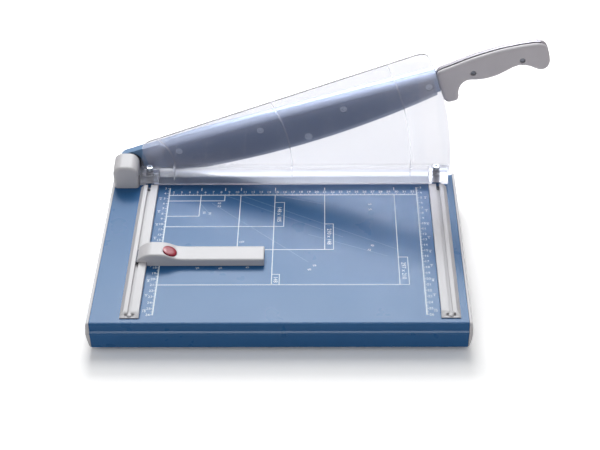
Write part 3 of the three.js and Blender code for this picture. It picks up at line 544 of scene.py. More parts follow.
def studio_paper(name, color, **constants):
    """It keeps the shadow, reads as white where it is seen, and fades into the white room."""
    material, tree, shader = begin(name, color, **constants)
    stage = bpy.context.scene.cutter_stage
    ray = add_node(tree, "LightPath")
    through = ray["Is Transmission Ray"]
    seen = add_node(tree, "Math", {
        "operation": "MAXIMUM", 0: ray["Is Camera Ray"], 1: ray["Is Glossy Ray"]})["Value"]
    paper = (*color, 1)
    for share, tone in ((grain(tree, 400), tint(color, 0.99)),
                        (seen, (stage.floor_seen,) * 3),
                        (through, (stage.floor_through,) * 3)):
        paper = add_node(tree, "Mix", {
            "data_type": "RGBA", 0: share, 6: paper, 7: (*tone, 1)})[2]
    feed(shader, {"Base Color": paper})

    place = add_node(tree, "TexCoord")["Object"]
    apart = add_node(tree, "VectorMath", {"operation": "LENGTH", 0: place})["Value"]
    outer = add_node(tree, "MapRange", {
        "interpolation_type": "SMOOTHSTEP", "Value": apart, "From Min": 0.6,
        "From Max": 1.3})["Result"]
    shown = add_node(tree, "Math", {"operation": "MAXIMUM", 0: seen, 1: through})["Value"]
    white = add_node(tree, "Math", {"operation": "MULTIPLY", 0: outer, 1: shown})["Value"]
    far_off = add_node(tree, "Emission", {"Color": (1, 1, 1, 1), "Strength": 1.0})["Emission"]
    joined = add_node(tree, "MixShader", {
        0: white, 1: shader.outputs["BSDF"], 2: far_off})["Shader"]
    feed(tree.nodes["Material Output"], {"Surface": joined})
    return material


# Each material: what makes it, its colour among the settings, and its values
FINISHES = {
    # Polyester powder coat: a deep colour under a clear even gloss with faint orange peel
    "powder_coated_steel": (mottled, "paint", dict(
        roughness=0.28, cloud=60, tones=(0.95, 1.05), gloss=(40, 0.26, 0.31),
        bumps=(2.2, 1, 0.003, 0.25), Specular_IOR_Level=0.2)),
    # Light grey ABS with a fine spark-eroded texture: soft, even sheen
    "moulded_abs": (mottled, "plastic", dict(
        roughness=0.48, cloud=30, tones=(0.97, 1.02), bumps=(0.5, 1, 0.012, 0.5))),
    # Warm grey glass-filled nylon of the handle: satin, with faint flow clouds and fine grain
    "glass_filled_nylon": (mottled, "handle", dict(
        roughness=0.5, cloud=18, tones=(0.95, 1.04), gloss=(6, 0.44, 0.56),
        bumps=(0.6, 2, 0.02, 0.5))),
    # Black rubber of the feet: dull, lightly mottled
    "nitrile_rubber": (mottled, "rubber", dict(
        roughness=0.85, cloud=3, tones=(0.8, 1.3), bumps=(0.8, 3, 0.03, 0.5))),
    # Red ABS from a polished mould: saturated, with a sharp highlight
    "red_polished_abs": (mottled, "button", dict(
        roughness=0.3, cloud=5, tones=(0.92, 1.06), bumps=(1.5, 3, 0.004, 0.4))),
    # Pale blue-white screen printing ink: flat, a touch uneven in its cover
    "screen_print_ink": (mottled, "ink", dict(roughness=0.5, cloud=2.5, tones=(0.86, 1.05))),
    # The same ink printed as hairlines, so thin that the coat shows through
    "hairline_ink": (mottled, "faint_ink", dict(roughness=0.45, cloud=4, tones=(0.8, 1.1))),
    # The arm's satin steel, brushed along its length
    "satin_steel_arm": (satin_arm, "arm", dict(
        roughness=0.36, line=0.6, stretch=(BRUSHED, 1, 1), turn=RAISE)),
    # Ground tool steel of the lower blade: grinding lines across it
    "ground_tool_steel": (steel, "blade", dict(
        roughness=0.32, line=0.5, stretch=(1, 1, BRUSHED), turn=RAISE)),
    # The upper blade's ground and honed steel
    "honed_blade_steel": (honed_blade, "blade", dict(
        roughness=0.34, line=0.5, stretch=(1, 1, BRUSHED), turn=RAISE)),
    # Bright zinc plating: clean and slightly blue, with turning marks
    "zinc_plated_steel": (steel, "zinc", dict(roughness=0.26, line=0.4, stretch=(6, 1, 6))),
    # The upper blade's screw heads and eyelet: plated steel given a light, mostly non-metallic tone,
    # a painted sheen standing in for the light the heads catch
    "dull_zinc_steel": (steel, "screw", dict(
        roughness=0.45, line=0.4, stretch=(6, 1, 6), metallic=0.2)),
    # Black oxide on steel: dark with an oily sheen
    "blackened_steel": (steel, "black_steel", dict(roughness=0.4, line=0.6, metallic=0.85)),
    # Burnished steel of the handle's sleeve screws: darker than ground, lighter than blackened
    "burnished_steel": (steel, "burnished", dict(roughness=0.36, line=0.6)),
    # Moulded acrylic of the guard
    "clear_acrylic": (acrylic, "acrylic", dict(roughness=0.05, Transmission_Weight=0.95, IOR=1.49)),
    # The white paper of the studio floor
    "seamless_paper": (studio_paper, "floor", dict(roughness=0.9, Specular_IOR_Level=0.0)),
}
made_materials = {}


def finish(name):
    """The material of that name, made once."""
    if name not in made_materials:
        make, color, values = FINISHES[name]
        colors = bpy.context.scene.cutter_colors
        made_materials[name] = make(name, getattr(colors, color), **values)
    return made_materials[name]


# Sizes and colours that a user would change

def size(name, description, default, top):
    """A length in millimetres."""
    return FloatProperty(name=name, description=description + ", in millimetres",
                         default=default, min=0.0, max=top)


def shade(name, description, code):
    """A colour."""
    return FloatVectorProperty(name=name, description=description, subtype="COLOR",
                               size=3, min=0.0, max=1.0, default=linear(code))


def power(name, description, default):
    """The power of a soft box."""
    return FloatProperty(name=name, description="Power of the " + description, default=default,
                         min=0.0, subtype="POWER", unit="POWER")


def level(name, description, default, top=1.0):
    """A brightness."""
    return FloatProperty(name=name, description=description, default=default, min=0.0, max=top)


class CutterSizes(bpy.types.PropertyGroup):
    """Small sizes of the finish that the CAD frame leaves open."""

    steel_edge: size("Steel edge", "Broken edge of steel pieces", 0.25, 1.0)
    plastic_edge: size("Plastic edge", "Rounded edge of moulded pieces", 0.5, 2.0)
    cover_round: size("Cover rounding", "Rounded front edge of the pivot cover", 3.9, 8.0)
    stop_round: size("Backstop rounding", "Rounded upper edges of the backstop", 2.2, 4.0)
    stroke: size("Stroke", "Width of the printed main lines", 0.95, 2.0)
    fine_stroke: size("Fine stroke", "Width of the printed ticks", 0.5, 1.0)
    digit: size("Digits", "Height of the printed numbers", 3.8, 6.0)
    ink: size("Ink", "Thickness of the printed ink", 0.03, 0.1)
    wire: size("Spring wire", "Diameter of the clamp springs' wire", 1.0, 1.5)
    curls: IntProperty(name="Curls", description="Turns of a clamp spring",
                       default=6, min=3, max=12)


class CutterColors(bpy.types.PropertyGroup):
    """Colours of the materials."""

    paint: shade("Paint", "Powder coat of the table", "#285F93")
    arm: shade("Arm", "Satin steel of the arm", "#A1AABD")
    root: shade("Arm root", "Coat of the arm's root", "#6F93BB")
    # The tang's tone is darkened as painted shade, where it shows between the handle's halves
    tang: shade("Tang", "Dull steel between the handle's halves", "#858187")
    plastic: shade("Plastic", "End caps, cover, backstop, rails and their front screws", "#CBC9CC")
    handle: shade("Handle", "Both halves of the handle", "#CEC9CF")
    blade: shade("Blade", "Ground steel of both blades", "#9DA1AE")
    honed: shade("Honed edge", "Strip along the cutting edge", "#C9CDD6")
    zinc: shade("Zinc", "Plated bolts, screws, washer, nuts and button spring", "#C3C7CD")
    # Lighter than the blade and mostly not metallic: a painted sheen for the light the heads catch
    screw: shade("Screw heads", "Countersunk heads and eyelet of the upper blade", "#D4D9E4")
    black_steel: shade("Black steel", "Bracket, clamp springs, shoe, rails' back screws", "#3A3C42")
    burnished: shade("Burnished", "Sleeve screws of the handle", "#7A7D86")
    rubber: shade("Rubber", "Feet", "#232326")
    button: shade("Button", "Release button", "#9C0D2B")
    ink: shade("Ink", "Printed lines and numbers", "#EFF7FF")
    faint_ink: shade("Hairline ink", "Printed angle lines", "#7EA3CB")
    acrylic: shade("Acrylic", "Clear guard", "#F4F4F9")
    floor: shade("Floor", "Studio floor", "#E6E6E6")


class CutterStage(bpy.types.PropertyGroup):
    """Light and view."""

    key: power("Key", "soft key light behind and above", 14.0)
    mirrored: power("Mirrored", "soft box behind that only gloss shows", 38.0)
    overhead: power("Overhead", "soft box above that only gloss shows", 27.0)
    top: power("Top", "soft box overhead", 12.0)
    front: power("Front", "weak soft box in front", 3.2)
    fill: level("Fill", "Strength of the even light all round", 0.33)
    ceiling: level("Ceiling", "How bright the studio's ceiling mirrors", 0.4)
    floor_seen: level("Floor seen", "How white the lit floor is where it is seen", 1.45, 2.0)
    floor_through: level("Floor through", "How white it is through the acrylic", 1.1, 2.0)
    lens: FloatProperty(name="Lens", description="Focal length on a 36 mm wide film",
                        default=78.85, min=20.0, max=200.0, subtype="DISTANCE_CAMERA")


# Operators: one for each piece or group of like pieces

class CUTTER_OT_table(bpy.types.Operator):
    """Folds the table out of one sheet and closes its ends"""

    bl_idname = "cutter.table"
    bl_label = "Table"

    sheet = 1.6
    fold = 3
    back = [(-28.3, -36), (-4.3, -36), (-4.3, 0)]
    ledge = [(-275.1, -10.6), (-277.6, -11.8), (-277.8, -12.2), (-277.9, -12.8), (-277.9, -14),
             (-277.6, -14.7), (-277, -15.2)]
    front = [(-277, -33.5), (-276.6, -34.9), (-275, -36), (-251, -36)]

    def execute(self, context):
        sizes = context.scene.cutter_sizes
        turn = [(-TABLE_DEPTH - self.fold * math.sin(a), self.fold * math.cos(a) - self.fold)
                for a in quarter(10)]
        line = [at(TABLE_LEFT, y, z) for y, z in self.back + turn + self.ledge + self.front]
        table = ring_of_corners("table_sheet", line)
        ends = (line[0], line[-1])
        pick(table, "EDGE", lambda c: all(min((p - end).length for end in ends) < NEAR for p in c))
        bpy.ops.mesh.delete(type="EDGE_FACE")
        bpy.ops.mesh.select_all(action="SELECT")
        bpy.ops.mesh.extrude_region_move(
            TRANSFORM_OT_translate={"value": ((TABLE_RIGHT - TABLE_LEFT) * MM, 0, 0)})
        leave_edit()
        highest = max(table.data.polygons, key=lambda f: f.center.z)
        inward = -1.0 if highest.normal.z > 0 else 1.0
        modify(table, "SOLIDIFY", thickness=self.sheet * MM, offset=inward, use_even_offset=True)
        enter_edit(table)
        leave_edit()
        soften(table, sizes.steel_edge, 2)
        dress(table, "powder_coated_steel", "base", "table_top")
        edge = sizes.plastic_edge
        for side in SIDES:
            from_frame(f"{side}_end_cap", f"end_cap_{side}", "moulded_abs", edge=edge, segments=3)
        for side in SIDES:
            for end in ("back", "front"):
                node = f"foot_{end}_{side}"
                from_frame(node, f"{node}_pad", "nitrile_rubber", edge=edge)
        return {"FINISHED"}


class PrintPlate:
    """Gathers flat ink marks on the table and makes them one thin piece."""

    def __init__(self, name, thickness):
        self.name = name
        self.thickness = thickness
        self.marks = []

    def bar(self, x0, y0, x1, y1, width):
        """A straight stroke from one place to another. Those that cross differ in height."""
        start, end = Vector((x0, y0)), Vector((x1, y1))
        run = end - start
        only()
        bpy.ops.mesh.primitive_plane_add(size=1)
        mark = bpy.context.object
        middle = (start + end) / 2
        turn = Matrix.Rotation(math.atan2(run.y, run.x), 4, "Z")
        scale = Matrix.Diagonal(((run.length + width) * MM, width * MM, 1, 1))
        lift = self.thickness * (0.3 + 0.08 * (len(self.marks) % 7))
        mark.data.transform(paper_matrix(middle.x, middle.y, lift) @ turn @ scale)
        self.marks.append(mark)
        return mark

    def ticks(self, x0, y0, x1, y1, width, count, step):
        """A row of equal ticks, the first one given by its ends and the step between them."""
        first = self.bar(x0, y0, x1, y1, width)
        modify(first, "ARRAY", count=count, use_relative_offset=False, use_constant_offset=True,
               constant_offset_displace=Vector((*step, 0)) * MM)

    def number(self, text, x, y, height, turn=0.0):
        """A number, centred on its place."""
        only()
        bpy.ops.object.text_add()
        mark = bpy.context.object
        mark.data.body = str(text)
        mark.data.size = height * MM * 1.4
        mark.data.resolution_u = 2
        mark.data.align_x = "CENTER"
        mark.data.align_y = "CENTER"
        bpy.ops.object.convert(target="MESH")
        mark = bpy.context.object
        mark.data.transform(paper_matrix(x, y, self.thickness / 3) @ Matrix.Rotation(turn, 4, "Z"))
        self.marks.append(mark)

    def make(self, material):
        """Joins the marks, gives them the ink's thickness and prints them on the table."""
        only(*self.marks)
        bpy.ops.object.join()
        plate = bpy.context.object
        modify(plate, "SOLIDIFY", thickness=self.thickness * MM, offset=1.0)
        settle(plate, self.name)
        return dress(plate, material, "base")


class CUTTER_OT_print(bpy.types.Operator):
    """Prints the scales, paper formats and angle lines on the table"""

    bl_idname = "cutter.table_print"
    bl_label = "Printed scales"

    left, right, base, low = 15, 325, -44, -260
    # Where the side rulers' ticks start
    head = -30

    def execute(self, context):
        sizes = context.scene.cutter_sizes
        stroke, fine, digit = sizes.stroke, sizes.fine_stroke, sizes.digit
        left, right, base, low, head = self.left, self.right, self.base, self.low, self.head
        plate = PrintPlate("printed_scales", sizes.ink)
        plate.bar(left, base, right, base, stroke)
        for x in (left, right):
            plate.bar(x, head + 0.5, x, low, stroke)
        for x, y in ((55, -85), (85, -55), (105, -148), (148, -210), (210, -148), (297, -210)):
            plate.bar(x, base, x, y, stroke)
        for x, y in ((85, -55), (55, -85), (148, -105), (210, -148), (297, -210)):
            plate.bar(left, y, x, y, stroke)
        for x in (55, 85, 105, 148, 210, 297):
            plate.bar(x, -29.8, x, -34.5, stroke)
        for pitch, length, width in ((1, 1.3, fine * 0.7), (5, 2.2, fine), (10, 3.0, fine)):
            start = -(-left // pitch) * pitch
            count = 1 + (right - start) // pitch
            plate.ticks(start, base, start, base + length, width, count, (pitch, 0))
            depth = 1 + (low - head) // -pitch
            for x, way in ((left, -1), (right, 1)):
                plate.ticks(x, head, x + way * length, head, width, depth, (0, -pitch))
        for k in range(2, 33):
            plate.number(k, k * 10, base + 6.2, digit)
        for k in range(3, 27):
            for x, way in ((left, -1), (right, 1)):
                plate.number(k, x + way * 5.6, -k * 10, digit)
        for k in range(2, 11):
            for x, way in ((left - 10.5, -1), (right + 10.5, 1)):
                plate.number(k, x, -k * INCH, digit * 0.85)
                plate.bar(x - way * 1.6, -k * INCH + 2.6, x + way * 1.6, -k * INCH + 2.6, fine)
        self.labels(plate, stroke * 0.8)
        plate.make("screen_print_ink")

        lines = PrintPlate("printed_angle_lines", sizes.ink)
        for x0, y0, x1, y1 in (
                (105, base, 297, -148), (85, base, 232, -125), (55, -60, 70, -84),
                (148, base, 208, -62), (70, -60, 190, -170), (190, -120, 285, -160)):
            lines.bar(x0, y0, x1, y1, fine * 0.7)
        lines.make("hairline_ink")
        return {"FINISHED"}

    @staticmethod
    def labels(plate, stroke):
        """Framed format labels beside their lines, and small numbers at the angle lines."""
        quarter_turn = -math.pi / 2
        for x0, y0, x1, y1, text in (
                (148, -58.5, 160, -105, "148 x 105"), (210, -100.5, 220.5, -148, "210 x 148"),
                (297, -162, 308, -210, "297 x 210"), (148, -192, 157, -210, "148")):
            for ends in ((x0, y0, x1, y0), (x1, y0, x1, y1), (x0, y1, x1, y1)):
                plate.bar(*ends, stroke)
            plate.number(text, (x0 + x1) / 2, (y0 + y1) / 2, 5.2, quarter_turn)
        for text, x, y, turn in (
                (85, 79, -60, 0), (55, 79, -66, 0), (55, 61, -78, quarter_turn),
                (85, 68, -80, quarter_turn), (60, 266, -63, 0.2), (30, 266, -73, 0.2),
                (45, 267, -141, -0.5), (15, 263, -149, -0.5), (75, 198, -177, 0.3),
                (90, 192, -184, 0.3), (105, 110, -134, 0.3), (30, 60, -181, 0.3),
                (60, 87, -181, 0.3), (45, 119, -180, 0.3)):
            plate.number(text, x, y, 3.2, turn)


class CUTTER_OT_lower_blade(bpy.types.Operator):
    """Finishes the lower blade on the table's back edge"""

    bl_idname = "cutter.lower_blade"
    bl_label = "Lower blade"

    def execute(self, context):
        from_frame("lower_blade", "lower_knife", "ground_tool_steel")
        return {"FINISHED"}


class CUTTER_OT_pivot(bpy.types.Operator):
    """Finishes the bracket, the bolt, its washers and its nut"""

    bl_idname = "cutter.pivot"
    bl_label = "Pivot"

    def execute(self, context):
        for node, name, material in (
                # The bracket is blackened steel, dark also so that the sliver of it beside the cover
                # reads as the shaded gap there: painted shade
                ("bracket", "bracket", "blackened_steel"),
                ("bolt", "pivot_stud", "zinc_plated_steel"),
                ("washer", "flat_washer", "zinc_plated_steel"),
                ("spring_washer", "spring_washer", "blackened_steel"),
                ("nut", "lock_nut", "zinc_plated_steel")):
            from_frame("pivot_" + node, name, material)
        return {"FINISHED"}


class CUTTER_OT_cover(bpy.types.Operator):
    """Moulds the pivot's cover: an arched cap with a soft front edge"""

    bl_idname = "cutter.cover"
    bl_label = "Pivot cover"

    corner = 12 * MM
    # How much higher the arch stands at the back
    rise = 4 * MM
    # It is moulded this much too deep and trimmed at the table
    spare = 6 * MM
    wall = 2 * MM

    def execute(self, context):
        low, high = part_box("pivot_cover")
        rounding = context.scene.cutter_sizes.cover_round
        below = low.z - self.spare
        top = high.z - self.rise
        start = low.y + rounding * MM
        arc = [(self.corner * math.cos(a), self.corner * math.sin(a)) for a in quarter(10)]
        right = [(high.x - self.corner + x, top - self.corner + z) for x, z in arc]
        left = [(low.x + self.corner - z, top - self.corner + x) for x, z in arc]
        outline = [(low.x, below), (high.x, below)] + right + left
        cover = drawn_out("arched_cover", [Vector((x, high.y, z)) for x, z in outline],
                          (0, start - high.y, 0))
        arch = top - self.corner - NEAR
        pick(cover, "EDGE", lambda c: all(p.y > high.y - NEAR and p.z > arch for p in c))
        bpy.ops.transform.translate(value=(0, 0, self.rise))
        leave_edit()
        round_over(cover, in_plane(Vector((0, start, 0)), Y_AXIS), rounding, rounding)
        enter_edit(cover)
        bpy.ops.mesh.bisect(plane_co=low, plane_no=(0, 0, 1), clear_inner=True)
        leave_edit()
        back = high.y - MM / 10
        pick(cover, "FACE", lambda c: all(p.y > back for p in c))
        bpy.ops.mesh.delete(type="FACE")
        leave_edit()
        modify(cover, "SOLIDIFY", thickness=self.wall, offset=-1.0, use_even_offset=True)
        soften(cover, 0, angle=32)
        dress(cover, "moulded_abs", "base", "pivot_cover")
        return {"FINISHED"}


class CUTTER_OT_arm(bpy.types.Operator):
    """Finishes the rounded arm with its tang"""

    bl_idname = "cutter.arm"
    bl_label = "Arm"

    def execute(self, context):
        from_frame("blade_arm", "cutting_arm", "satin_steel_arm", "lever", angle=30)
        return {"FINISHED"}


class CUTTER_OT_blade(bpy.types.Operator):
    """Finishes the upper blade and presses its eyelet into it"""

    bl_idname = "cutter.blade"
    bl_label = "Upper blade"

    place = (229, 0.3, -26.4)
    rim = [(0, 1.0), (2.0, 0.95), (2.3, 0.7), (3.0, 0.15), (4.1, -0.25), (4.9, -0.25), (4.9, 0.0),
           (4.4, 0.02), (3.2, 0.55), (2.7, 1.7), (0, 1.7)]

    def execute(self, context):
        from_frame("upper_blade", "upper_knife", "honed_blade_steel", "lever", 0.12, 1)
        eyelet = turned("blade_eyelet", self.rim, 40)
        eyelet.data.transform(lever_matrix(*self.place) @ TO_BACK)
        soften(eyelet, 0)
        dress(eyelet, "dull_zinc_steel", "lever")
        return {"FINISHED"}


class CUTTER_OT_screws(bpy.types.Operator):
    """Turns one countersunk screw with a hexagon socket and puts a copy in every place"""

    bl_idname = "cutter.countersunk_screws"
    bl_label = "Countersunk screws"

    # The upper blade's screws along the lever
    first = 65.6
    pitch = 108.4

    def execute(self, context):
        upper = self.screw("upper_pattern", 10.6)
        lower = self.screw("lower_pattern", 8.9)
        for i in range(4):
            matrix = lever_matrix(self.first + self.pitch * i, 0.6, 0) @ TO_FRONT
            piece = copied(upper, f"knife_screw_{i + 1}", matrix)
            dress(piece, "dull_zinc_steel", "lever", f"blade_screw_{i + 1}")
        nodes = [f"lower_blade_screw_{i + 1}" for i in range(4)]
        for node in nodes + ["bracket_screw_1", "bracket_screw_2"]:
            low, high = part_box(node)
            middle = Vector(((low.x + high.x) / 2, high.y, (low.z + high.z) / 2))
            matrix = Matrix.Translation(middle) @ TO_BACK
            piece = copied(lower, node.replace("blade", "knife") + "_socket", matrix)
            dress(piece, "zinc_plated_steel", "base", node)
        bpy.data.batch_remove((upper, lower))
        return {"FINISHED"}

    @staticmethod
    def screw(name, length):
        """A countersunk screw whose head faces +Z at the origin."""
        profile = [(0, 0.06), (2.4, 0.05), (4.2, 0), (4.4, -0.2), (2.0, -2.4), (2.0, -length + 0.4),
                   (1.6, -length), (0, -length)]
        piece = turned(name, profile)
        cut_away(piece, round_tool(1.9, 1.3, Matrix.Identity(4), 6))
        soften(piece, 0, angle=25)
        return piece


class CUTTER_OT_handle(bpy.types.Operator):
    """Moulds the two halves of the handle, rounded outside and flat against the tang"""

    bl_idname = "cutter.handle"
    bl_label = "Handle"

    start = 403.5
    length = 136
    depth = 55
    # Each half's thickness, and how much of it is straight before its rim is rounded
    half = 5.8
    straight = 1.4
    # Where each half meets the tang, and which way it faces
    halves = (("front", 6.7, -1), ("rear", 10.3, 1))
    # The two fasteners: their shares of the length, their height and their heads' places
    shares = (0.315, 0.757)
    screw_v = 2.6
    screw_y, nut_y = 2.7, 14.6
    outline = (
        (-0.004, 0.1), (-0.002, 0.2), (0.006, 0.262), (0.028, 0.302), (0.075, 0.322),
        (0.151, 0.345), (0.283, 0.393), (0.415, 0.424), (0.6, 0.44), (0.768, 0.416),
        (0.893, 0.376), (0.952, 0.327), (0.989, 0.236), (1.0, 0.109), (0.999, -0.018),
        (0.991, -0.173), (0.967, -0.282),
        (0.926, -0.333), (0.882, -0.318), (0.842, -0.245), (0.801, -0.158), (0.75, -0.095),
        (0.688, -0.08), (0.614, -0.127), (0.518, -0.187), (0.426, -0.202), (0.338, -0.175),
        (0.268, -0.124), (0.217, -0.142), (0.173, -0.236), (0.146, -0.355), (0.138, -0.473),
        (0.118, -0.56), (0.088, -0.573), (0.026, -0.56), (0.002, -0.482), (-0.007, -0.336),
    )

    def execute(self, context):
        places = [self.start + share * self.length for share in self.shares]
        curve = smooth_through([(u * 0.998, v * 0.996) for u, v in self.outline])
        for name, inner, way in self.halves:
            points = [on_lever(self.start + u * self.length, inner, v * self.depth)
                      for u, v in curve]
            outward = Vector((0, way * MM, 0))
            piece = drawn_out(f"grip_{name}", points, outward * self.straight)
            face = at(0, inner + way * self.straight, 0)
            round_over(piece, in_plane(face, Y_AXIS), 2.8, self.half - self.straight)
            modify(piece, "REMESH", mode="VOXEL", voxel_size=0.7 * MM)
            modify(piece, "SMOOTH", factor=0.5, iterations=60)
            for u in places:
                well = lever_matrix(u, inner + way * self.half, self.screw_v) @ TO_BACK
                cut_away(piece, round_tool(3.6, 3.6, well, 40))
                cut_away(piece, round_tool(2.3, 8, well))
            soften(piece, 0, angle=40)
            dress(piece, "glass_filled_nylon", "lever", f"handle_{name}")
        self.fasteners(places)
        return {"FINISHED"}

    def fasteners(self, places):
        """Slotted sleeve screws at the front and their nuts at the rear, in their wells."""
        profile = [(0, 0), (2.5, 0), (3.1, -0.35), (3.2, -0.9), (3.2, -1.5), (1.9, -1.5),
                   (1.9, -11.6), (0, -11.6)]
        screw = turned("sleeve_screw", profile)
        only()
        bpy.ops.mesh.primitive_cube_add(size=1)
        slot = bpy.context.object
        slot.data.transform(Matrix.Diagonal((8 * MM, 1.0 * MM, 1.6 * MM, 1)))
        cut_away(screw, slot)
        nut = turned("sleeve_nut", [(2.2, 0), (2.9, 0), (3.2, -0.3), (3.2, -2.6), (2.2, -2.6)])
        for piece in (screw, nut):
            soften(piece, 0, angle=30)
        for i, u in enumerate(places, 1):
            tilt = Matrix.Rotation(0.7 * i, 4, "Z")
            matrix = lever_matrix(u, self.screw_y, self.screw_v) @ TO_FRONT @ tilt
            front = copied(screw, f"grip_screw_{i}", matrix)
            dress(front, "burnished_steel", "lever", f"handle_screw_{i}")
            matrix = lever_matrix(u, self.nut_y, self.screw_v) @ TO_BACK
            rear = copied(nut, f"grip_nut_{i}", matrix)
            dress(rear, "zinc_plated_steel", "lever", f"handle_nut_{i}")
        bpy.data.batch_remove((screw, nut))


class CUTTER_OT_guard(bpy.types.Operator):
    """Finishes the clear guard with its clamp foot"""

    bl_idname = "cutter.guard"
    bl_label = "Clear guard"

    def execute(self, context):
        from_frame("clamp_guard", "clear_guard", "clear_acrylic", "clamp", 0, angle=20)
        return {"FINISHED"}


class CUTTER_OT_guides(bpy.types.Operator):
    """Makes the clamp's guide bolts, nuts and coil springs"""

    bl_idname = "cutter.guides"
    bl_label = "Clamp guides"

    head = 4.5
    # The spring's mean radius
    coil_radius = 3.3

    def execute(self, context):
        sizes = context.scene.cutter_sizes
        tail, top = (in_paper(corner)[2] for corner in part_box("guide_bolt_left"))
        under = top - self.head
        profile = [(0, top), (3.5, top), (4.0, top - 0.25), (4.2, top - 0.7), (4.2, under),
                   (2.2, under), (2.2, tail + 0.6), (1.7, tail), (0, tail)]
        bolt = turned("guide_bolt", profile, 36)
        cut_away(bolt, round_tool(2.1, 2.4, Matrix.Translation(Vector((0, 0, top)) * MM), 6))
        soften(bolt, 0, angle=30)
        foot, crown = (in_paper(corner)[2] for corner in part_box("clamp_spring_left"))
        spring = self.coil(sizes, crown - foot)
        for side in SIDES:
            low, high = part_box(f"guide_bolt_{side}")
            x, y, _ = in_paper((low + high) / 2)
            post = copied(bolt, f"socket_bolt_{side}", paper_matrix(x, y, 0))
            dress(post, "zinc_plated_steel", "base", f"guide_bolt_{side}")
            from_frame(f"guide_nut_{side}", f"stop_nut_{side}", "zinc_plated_steel")
            coil = copied(spring, f"coil_spring_{side}", paper_matrix(x, y, foot))
            dress(coil, "blackened_steel", "base", f"clamp_spring_{side}")
            tuple(at(x, y, foot))
            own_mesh(coil)
        bpy.data.batch_remove((bolt, spring))
        return {"FINISHED"}

    def coil(self, sizes, height):
        """A coil spring of round wire, drawn along a screw line, with closed ends."""
        wire = sizes.wire / 2
        rise = (height - wire * 2) / sizes.curls
        only()
        bpy.ops.mesh.primitive_circle_add(vertices=10, radius=wire * MM, fill_type="NOTHING")
        spring = bpy.context.object
        place = Vector((self.coil_radius, 0, wire)) * MM
        spring.data.transform(Matrix.Translation(place) @ TO_FRONT)
        modify(spring, "SCREW", angle=math.tau, screw_offset=rise * MM, iterations=sizes.curls,
               steps=20, render_steps=20, axis="Z")
        enter_edit(spring)
        bpy.ops.mesh.fill_holes(sides=10)
        leave_edit()
        soften(spring, 0, angle=60)
        return spring


class CUTTER_OT_rails(bpy.types.Operator):
    """Finishes the two rails and their screws"""

    bl_idname = "cutter.rails"
    bl_label = "Rails"

    def execute(self, context):
        edge = context.scene.cutter_sizes.plastic_edge * 0.6
        for side in SIDES:
            from_frame(f"{side}_rail", f"grooved_rail_{side}", "moulded_abs", edge=edge)
            for end, material in (("back", "blackened_steel"), ("front", "moulded_abs")):
                node = f"rail_screw_{side}_{end}"
                from_frame(node, f"groove_screw_{side}_{end}", material, edge=0, angle=30)
        return {"FINISHED"}


class CUTTER_OT_backstop(bpy.types.Operator):
    """Moulds the backstop with its hump, and finishes the shoe in the rail"""

    bl_idname = "cutter.backstop"
    bl_label = "Backstop"

    back = -152
    depth = 25
    # Each corner with the run that softens it
    corners = [(0.3, 0.3, 0), (138.5, 0.3, 0.3), (138.5, 10, 1.4), (44, 10, 5), (35, 10.9, 3),
               (24, 15.8, 3.5), (17, 17.2, 3.5), (3, 17.2, 3.5), (-4, 14.4, 3), (-11, 8.9, 1),
               (-11, 5.9, 0), (0.3, 5.9, 0)]
    # Only edges above this height are rounded
    floor = 6.5
    # The well that the release button sits in
    well_radius, well_top, well_depth = 8.35, 20, 17.6

    def execute(self, context):
        rounding = context.scene.cutter_sizes.stop_round
        outline = [at(x, self.back, z) for x, z in softened(self.corners)]
        stop = drawn_out("sliding_backstop", outline, (0, -self.depth * MM, 0))
        faces = [in_plane(at(0, y, 0), Y_AXIS) for y in (self.back, self.back - self.depth)]
        floor = at(0, 0, self.floor).z
        pick(stop, "EDGE", lambda c: min(p.z for p in c) > floor and any(face(c) for face in faces))
        bpy.ops.mesh.bevel(offset=rounding * MM, segments=5, affect="EDGES")
        leave_edit()
        low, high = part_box("release_button")
        middle = (low + high) / 2
        well = Matrix.Translation((middle.x, middle.y, at(0, 0, self.well_top).z))
        cut_away(stop, round_tool(self.well_radius, self.well_depth, well, 64))
        soften(stop, 0, angle=28)
        dress(stop, "moulded_abs", "backstop", "backstop")
        from_frame("slide_shoe", "rail_shoe", "blackened_steel", "backstop")
        return {"FINISHED"}


class CUTTER_OT_button(bpy.types.Operator):
    """Moulds the domed release button on its slope, with its spring below"""

    bl_idname = "cutter.button"
    bl_label = "Release button"

    slope = Vector((4.8, 0, 12)).normalized()
    # The height of the sloping rim in the middle, and the dome above it
    rim = 15.1
    dome_width, dome_height = 4.5, 1.0
    # It is turned this much too long and trimmed along the slope
    spare = 4 * MM

    def execute(self, context):
        low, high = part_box("release_button")
        middle = (low + high) / 2
        only()
        bpy.ops.mesh.primitive_cylinder_add(
            vertices=64, radius=(high.x - low.x) / 2, depth=high.z - low.z + self.spare,
            location=(middle.x, middle.y, middle.z + self.spare / 2))
        button = settle(bpy.context.object, "domed_button")
        rim = Vector((middle.x, middle.y, at(0, 0, self.rim).z))
        enter_edit(button)
        bpy.ops.mesh.bisect(plane_co=rim, plane_no=self.slope, clear_outer=True, use_fill=True)
        leave_edit()
        round_over(button, in_plane(rim, self.slope), self.dome_width, self.dome_height, 6)
        soften(button, 0, angle=50)
        dress(button, "red_polished_abs", "button", "release_button")
        spring = from_frame("button_spring", "button_return_spring", "zinc_plated_steel",
                            "backstop", 0.2)
        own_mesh(spring)
        return {"FINISHED"}


